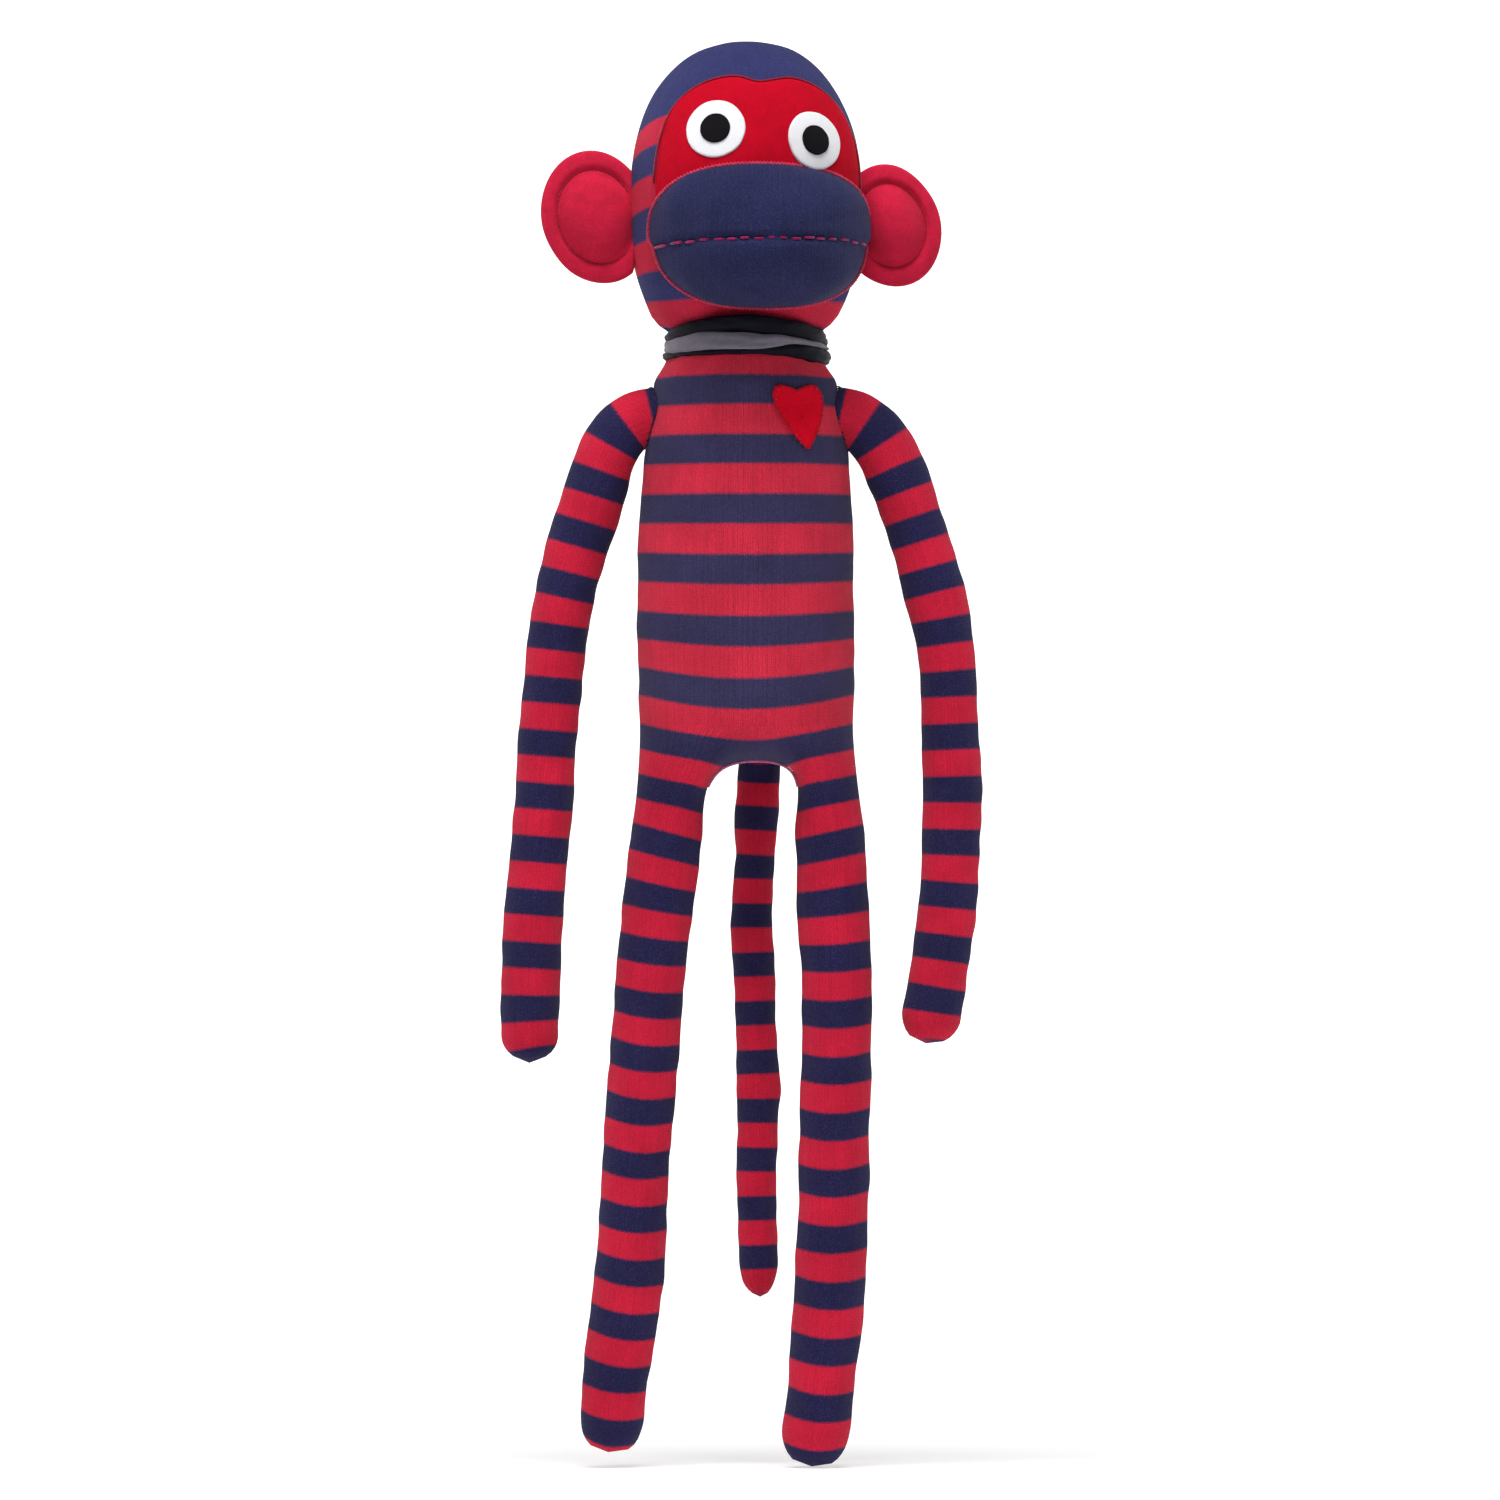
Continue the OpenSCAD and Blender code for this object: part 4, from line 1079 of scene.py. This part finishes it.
for side, s in SIDES.items():
    lo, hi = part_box(f"ear_front_{side}")
    r = (hi.z - lo.z) / 2
    wide = 0.84  # share of its height that the ear's width has
    mid = np.array([(hi.x - r * wide) if s > 0 else (lo.x + r * wide),
                    (lo.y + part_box(f"ear_back_{side}")[1].y) / 2, (lo.z + hi.z) / 2])
    root_x = s * 0.0455
    out_dir = np.array([s * math.cos(YAW), s * math.sin(YAW), 0.0])
    front_dir = np.array([math.sin(YAW), -math.cos(YAW), 0.0])
    up_dir = np.array([0, 0, 1.0])
    rho = np.r_[0.03, np.linspace(0.1, 0.62, 10), np.linspace(0.64, 0.985, 26), 0.995, 1.0]
    from_rim = (1 - rho) * r / MM
    dome = np.maximum(1 - (rho / (1 - 9.8 * MM / r)) ** 2.2, 0) ** 0.75
    body = 0.0016 + 0.0012 * smooth(from_rim, 0, 4) + 0.0066 * dome
    groove = 0.0012 * bump_at(from_rim, GROOVE, 1.3) + 0.0002 * bump_at(from_rim, 3.4, 0.9)
    half = (body - groove) * np.sqrt(np.clip(from_rim / 0.9 + 0.02, 0, 1))

    def oval(size, angle):
        """The ear's outline at a size, leaning a little."""
        flat = size * (wide * np.cos(angle)[:, None] * out_dir + np.sin(angle)[:, None] * up_dir)
        flat[:, 0] -= 0.09 * flat[:, 2]
        return flat

    def flatten(p, inward):
        """Thinner and set forward near the head."""
        near = smooth(-inward, -0.010, 0.002)
        p[..., 1] = mid[1] + (p[..., 1] - mid[1]) * (1 - 0.35 * near) + 0.0015 * near * front_dir[1]
        return p

    rows = []
    for face in (1, -1):
        order = range(len(rho)) if face > 0 else range(len(rho) - 2, -1, -1)
        for q in order:
            rows.append(mid + oval(rho[q] * r, around(96)) + face * half[q] * front_dir)
    co = np.array(rows)
    inward = s * (co[:, :, 0] - root_x)
    pinched = np.where(inward < 0, inward * 0.28, inward)
    co[:, :, 0] = root_x + s * pinched
    co = flatten(co, inward)
    if s > 0:
        co = co[:, ::-1]
    t = Tube(co[:, ::-1], 1, 0, 0)
    t.push(lump(t.co, 0.03, 71 + s) * 0.00025)
    poles = dict(top=(t.co[0].mean(0), front_dir), tip=(t.co[-1].mean(0), -front_dir))
    ear = t.piece(f"ear_felt_{side}", FELT_EAR, **poles)
    # topstitching in the deep groove, front and back
    lines = []
    q = 1 - GROOVE * MM / r
    h0 = float(np.interp(q, rho, half))
    for face in (1, -1):
        for i in range(58):
            b = 2 * math.pi * (i + np.linspace(0.1, 0.78, 6)) / 58
            p = mid + oval(q * r, b)
            inward = s * (p[:, 0] - root_x)
            if inward.min() < 0.0012:
                continue
            p = flatten(p + face * (h0 + 0.00012) * front_dir, inward)
            lines.append(thread(f"ear_line_{len(lines)}", p, 0.00026, THREAD_RED, sides=5))
    lines = join(f"ear_topstitch_{side}", lines)
    place(ear, f"ear_{side}", "red_felt", f"ear_front_{side}", f"ear_back_{side}", f"ear_padding_{side}")
    place(lines, f"ear_{side}", "crimson_thread", f"ear_topstitching_{side}")

# ---- Heart ----------------------------------------------------------------------------------
lo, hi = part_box("heart_patch")
HX, HZ = (lo.x + hi.x) / 2, (lo.z + hi.z) / 2


def trunk_front(x, z, off=0.0):
    mid, rx, ry = trunk_half((z - TOE) / MM)
    rx, ry = rx + off, ry + off
    return mid[1] - ry * max(1 - (abs(x - mid[0]) / rx) ** 2.15, 0) ** (1 / 2.15)


def heart_outline(t):
    """A hand-cut heart: broad shoulders, a shallow notch and straight sides to the tip, skewed a little."""
    half_x = np.array([0, 2.6, 5.6, 8.4, 9.9, 9.9, 8.2, 5.9, 3.4, 1.2, 0])
    half_z = np.array([10.6, 11.9, 12.9, 12.2, 9.4, 5.2, 0.2, -4.6, -9.2, -12.4, -13.2])
    x = np.concatenate([half_x, -half_x[-2:0:-1]]) * MM
    z = np.concatenate([half_z, half_z[-2:0:-1]]) * MM
    at = np.append(0, np.cumsum(np.hypot(np.roll(x, -1) - x, np.roll(z, -1) - z)))
    here = np.linspace(0, 1, 241)[:-1] * at[-1]
    x, z = (np.interp(here, at, np.append(v, v[0])) for v in (x, z))
    for _ in range(10):
        x, z = ((np.roll(v, 1) + 2 * v + np.roll(v, -1)) / 4 for v in (x, z))
    turns = np.asarray(t) / (2 * math.pi) * 240
    x, z = (np.interp(turns, np.arange(241), np.append(v, v[0])) for v in (x, z))
    return x - 0.19 * z, z


hx, hz = heart_outline(around(120))
rows = []
for q, off in zip(np.r_[0.03, np.linspace(0.12, 0.9, 10), 0.95, 0.985, 1.0, 1.0],
                  np.r_[np.full(11, 1.5), 1.45, 1.3, 0.9, -0.5]):
    x, z = HX + hx * q, HZ + hz * q
    y = np.array([trunk_front(xx, zz, off * MM) for xx, zz in zip(x, z)])
    rows.append(np.stack([x, y, z], 1))
rows = np.array(rows)
t = Tube(rows, 1, 0, 0)
if t.normals()[4].mean(0)[1] > 0:
    t = Tube(rows[:, ::-1], 1, 0, 0)
t.push(lump(t.co, 0.012, 81) * 0.00018)
heart = t.piece("heart_felt", FELT_HEART, top=(t.co[0].mean(0), (0, -1, 0)))
place(heart, "torso", "heart_felt", "heart_patch")
picks = 2 * math.pi * (np.arange(30) + 0.5) / 30
px, pz = heart_outline(picks)
pts, slants = [], []
for x, z in zip(px, pz):
    xx, zz = HX + x * 0.95, HZ + z * 0.95
    pts.append([xx, trunk_front(xx, zz, 0.0015), zz])
    slants.append([x, 0.0, z])
sewn = stitches("heart_stitches", pts, THREAD_RED, 2.0, 0.0002, 0.00025,
                normals=[[0.3, -0.95, 0]] * len(pts), slant=slants)
place(sewn, "torso", "crimson_thread", "heart_stitching")


# ---- Neck tie -------------------------------------------------------------------------------
def wrap(name, mat, middle, height, radius, thick, seed, slot_name, node, flare=0.0):
    """One turn of the tie: middle and height are functions of the angle round the neck, in mm."""
    n, m = 160, 26
    a, b = around(n), around(m)
    mid_h, high, rad = middle(a), height(a) / 2, radius(a)
    rows = []
    for i in range(m):
        c, s = math.cos(b[i]), math.sin(b[i])
        e = 2 / 2.6
        dr = thick / 2 * np.sign(c) * abs(c) ** e
        dz = high * np.sign(s) * abs(s) ** e
        rr = rad + dr + flare * dz * (0.5 + 0.5 * np.cos(a))
        rows.append(np.stack([rr * MM * np.sin(a), -rr * 0.93 * MM * np.cos(a), H(mid_h + dz)], 1))
    co = np.array(rows)
    fold = (0.35 * lump(co * np.array([1, 1, 6.0]), 0.03, seed)
            + 0.2 * lump(co * np.array([1, 1, 9.0]), 0.012, seed + 1)) * MM
    centre = np.stack([rad * MM * np.sin(a), -rad * 0.93 * MM * np.cos(a), H(mid_h)], 1)[None]
    away = co - centre
    away /= np.maximum(np.linalg.norm(away, axis=2, keepdims=True), 1e-9)
    co = co + away * fold[..., None]
    faces, uv = [], []
    for j in range(m):
        for i in range(n):
            e, f = (i + 1) % n, (j + 1) % m
            faces.append((j * n + i, j * n + e, f * n + e, f * n + i))
            u0, u1 = i * 1.3, i * 1.3 + 1.3
            uv += [(u0, j * 1.0), (u1, j * 1.0), (u1, j + 1.0), (u0, j + 1.0)]
    o = mesh(name, co.reshape(-1, 3), faces, mat, uv)
    place(o, "neck", slot_name, node)


DEG = np.array([-180, -90, -60, -30, 0, 30, 60, 90, 180.0])


def round_neck(*values):
    """A number that changes round the neck: at the back, her right, in front, her left and the back again."""
    def at(a):
        deg = np.degrees(np.angle(np.exp(1j * np.asarray(a))))
        x = np.interp(deg, DEG, values)
        return (np.roll(x, 3) + np.roll(x, -3) + np.roll(x, 6) + np.roll(x, -6) + 2 * x) / 6
    return at


# partly painted shadow: the dark upper wrap rises highest and thickest in front, filling the dark band under the
# chin that is partly the chin's shadow
wrap("tie_upper", TIE_DARK, round_neck(452.0, 451.0, 452.3, 455.6, 456.6, 454.4, 451.8, 449.4, 452.0),
     round_neck(5, 3.4, 5.2, 7.0, 7.6, 7.6, 6.2, 5.0, 5),
     round_neck(30.3, 30.2, 30.8, 31.8, 32.2, 31.8, 30.8, 30.2, 30.3), 4.4, 91,
     "navy_tie", "neck_tie_upper_wrap", flare=0.25)
wrap("tie_grey", TIE_GREY, round_neck(447.6, 447.3, 447.7, 449.2, 449.6, 449.3, 448.2, 446.8, 447.6),
     round_neck(3, 5.4, 6.2, 7.6, 7.4, 3.4, 1.9, 1.5, 3),
     round_neck(30.5, 30.6, 31.0, 32.0, 32.6, 32.4, 31.6, 30.8, 30.5), 4.6, 95,
     "grey_tie", "neck_tie_grey_strip")
wrap("tie_lower", TIE_DARK, round_neck(443.6, 443.2, 444.0, 445.0, 445.2, 445.6, 444.4, 442.8, 443.6),
     round_neck(5, 3.4, 2.4, 1.8, 2.0, 4.8, 6.6, 6.2, 5),
     round_neck(30.4, 30.8, 30.6, 30.6, 30.8, 31.0, 31.6, 31.8, 30.4), 4.6, 99,
     "navy_tie", "neck_tie_lower_wrap")

# ---- Seams ----------------------------------------------------------------------------------
line, _, _ = respace(np.array(hem_line) - np.array([0, 0.0006, 0.0003]), 0.0012)
hem = thread("crotch_hem", line, 0.0006, THREAD_MAUVE)
place(hem, "torso", "crimson_thread", "crotch_seam_stitching")
# the closed opening in the back
points, outs, slants = [], [], []
for i in range(22):
    h = 330 + i * 3.0
    mid, rx, ry = trunk_half(h)
    points.append([0.0009 * math.sin(i * 1.7), mid[1] + ry + 0.0004, H(h)])
    outs.append([0, 1, 0])
    slants.append([1, 0, 0.35 if i % 2 else 0.2])
back = stitches("back_seam", points, THREAD_NAVY, 4.2, 0.0003, 0.0003, normals=outs, slant=slants)
place(back, "torso", "navy_thread", "back_seam_stitching")
# the tail's root
ring_a = around(16)
zt = H(283)
points = [[root.x + 0.0092 * math.sin(q), root.y - 0.003 - 0.0092 * math.cos(q), zt] for q in ring_a]
outs = [[math.sin(q), -math.cos(q), 0] for q in ring_a]
seam = stitches("tail_seam", points, THREAD_NAVY, 3.4, 0.0003, 0.0003, normals=outs,
                slant=[[math.cos(q) * 0.4, math.sin(q) * 0.4, 1] for q in ring_a])
place(seam, "torso", "navy_thread", "tail_seam_stitching")

# ---- Stage ----------------------------------------------------------------------------------
# a round sweep of white paper, wide enough for the camera to go round inside it; it glows behind the toy
paper = bpy.data.materials.new("paper")
paper.use_nodes = True
cloth = paper.node_tree.nodes["Principled BSDF"]
cloth.inputs["Roughness"].default_value = 0.9
cloth.inputs["Base Color"].default_value = (0.62, 0.62, 0.62, 1)
cloth.inputs["Emission Color"].default_value = (1, 1, 1, 1)
where = paper.node_tree.nodes.new("ShaderNodeTexCoord")
split = paper.node_tree.nodes.new("ShaderNodeSeparateXYZ")
paper.node_tree.links.new(where.outputs["Object"], split.inputs[0])
total = paper.node_tree.nodes.new("ShaderNodeMath")
for slot, values in enumerate(((0, -1.3, -0.3, 0.15, 0.5), (0, 0, 1.3, 0, 0.5))):
    glow = paper.node_tree.nodes.new("ShaderNodeMapRange")
    glow.interpolation_type = "SMOOTHSTEP"
    for i, value in enumerate(values):
        glow.inputs[i].default_value = value
    paper.node_tree.links.new(split.outputs[1], glow.inputs[0])
    paper.node_tree.links.new(glow.outputs[0], total.inputs[slot])
paper.node_tree.links.new(total.outputs[0], cloth.inputs["Emission Strength"])
profile = [(0.02, 0), (0.4, 0), (1, 0), (2, 0), (4, 0), (8.4, 0)] + [
    (8.4 + 1.2 * math.sin(q), 1.2 - 1.2 * math.cos(q)) for q in np.linspace(0.1, math.pi / 2, 14)] + [(9.6, 5.0)]
sides = 72
co = [(r * math.sin(q), r * math.cos(q), TOE - 0.0006 + z) for r, z in profile
      for q in around(sides)]
quads = [(i * sides + j, i * sides + sides + j, i * sides + sides + (j + 1) % sides, i * sides + (j + 1) % sides)
         for i in range(len(profile) - 1) for j in range(sides)]
sweep = mesh("floor", co, quads + [tuple(range(sides))], paper)

world = bpy.data.worlds.new("studio")
bpy.context.scene.world = world
world.use_nodes = True
world.node_tree.nodes["Background"].inputs[0].default_value = (1, 1, 1, 1)
world.node_tree.nodes["Background"].inputs[1].default_value = 0.03


def lamp(name, place, aim, size, power):
    data = bpy.data.lights.new(name, "AREA")
    data.shape, data.size, data.size_y, data.energy = "RECTANGLE", size[0], size[1], power
    o = bpy.data.objects.new(name, data)
    o.location = place
    o.rotation_euler = (Vector(aim) - Vector(place)).to_track_quat("-Z", "Y").to_euler()
    bpy.context.scene.collection.objects.link(o)


lamp("overhead", (-0.1, -0.7, 1.6), (0, 0, -0.1), (1.2, 0.9), 39)
lamp("front", (-0.6, -2.6, 1.2), (0, 0, -0.2), (1.4, 1.0), 7.5)

camera = bpy.data.cameras.new("camera")
camera.sensor_width = 36
camera.lens = 36 * 7 / 0.6
camera.clip_end = 30
eye = bpy.data.objects.new("camera", camera)
eye.location = (0.0016, -7, TOE + 0.2864)
eye.rotation_euler = (math.pi / 2, 0, 0)
bpy.context.scene.collection.objects.link(eye)
bpy.context.scene.camera = eye
bpy.context.scene.view_settings.view_transform = "Standard"
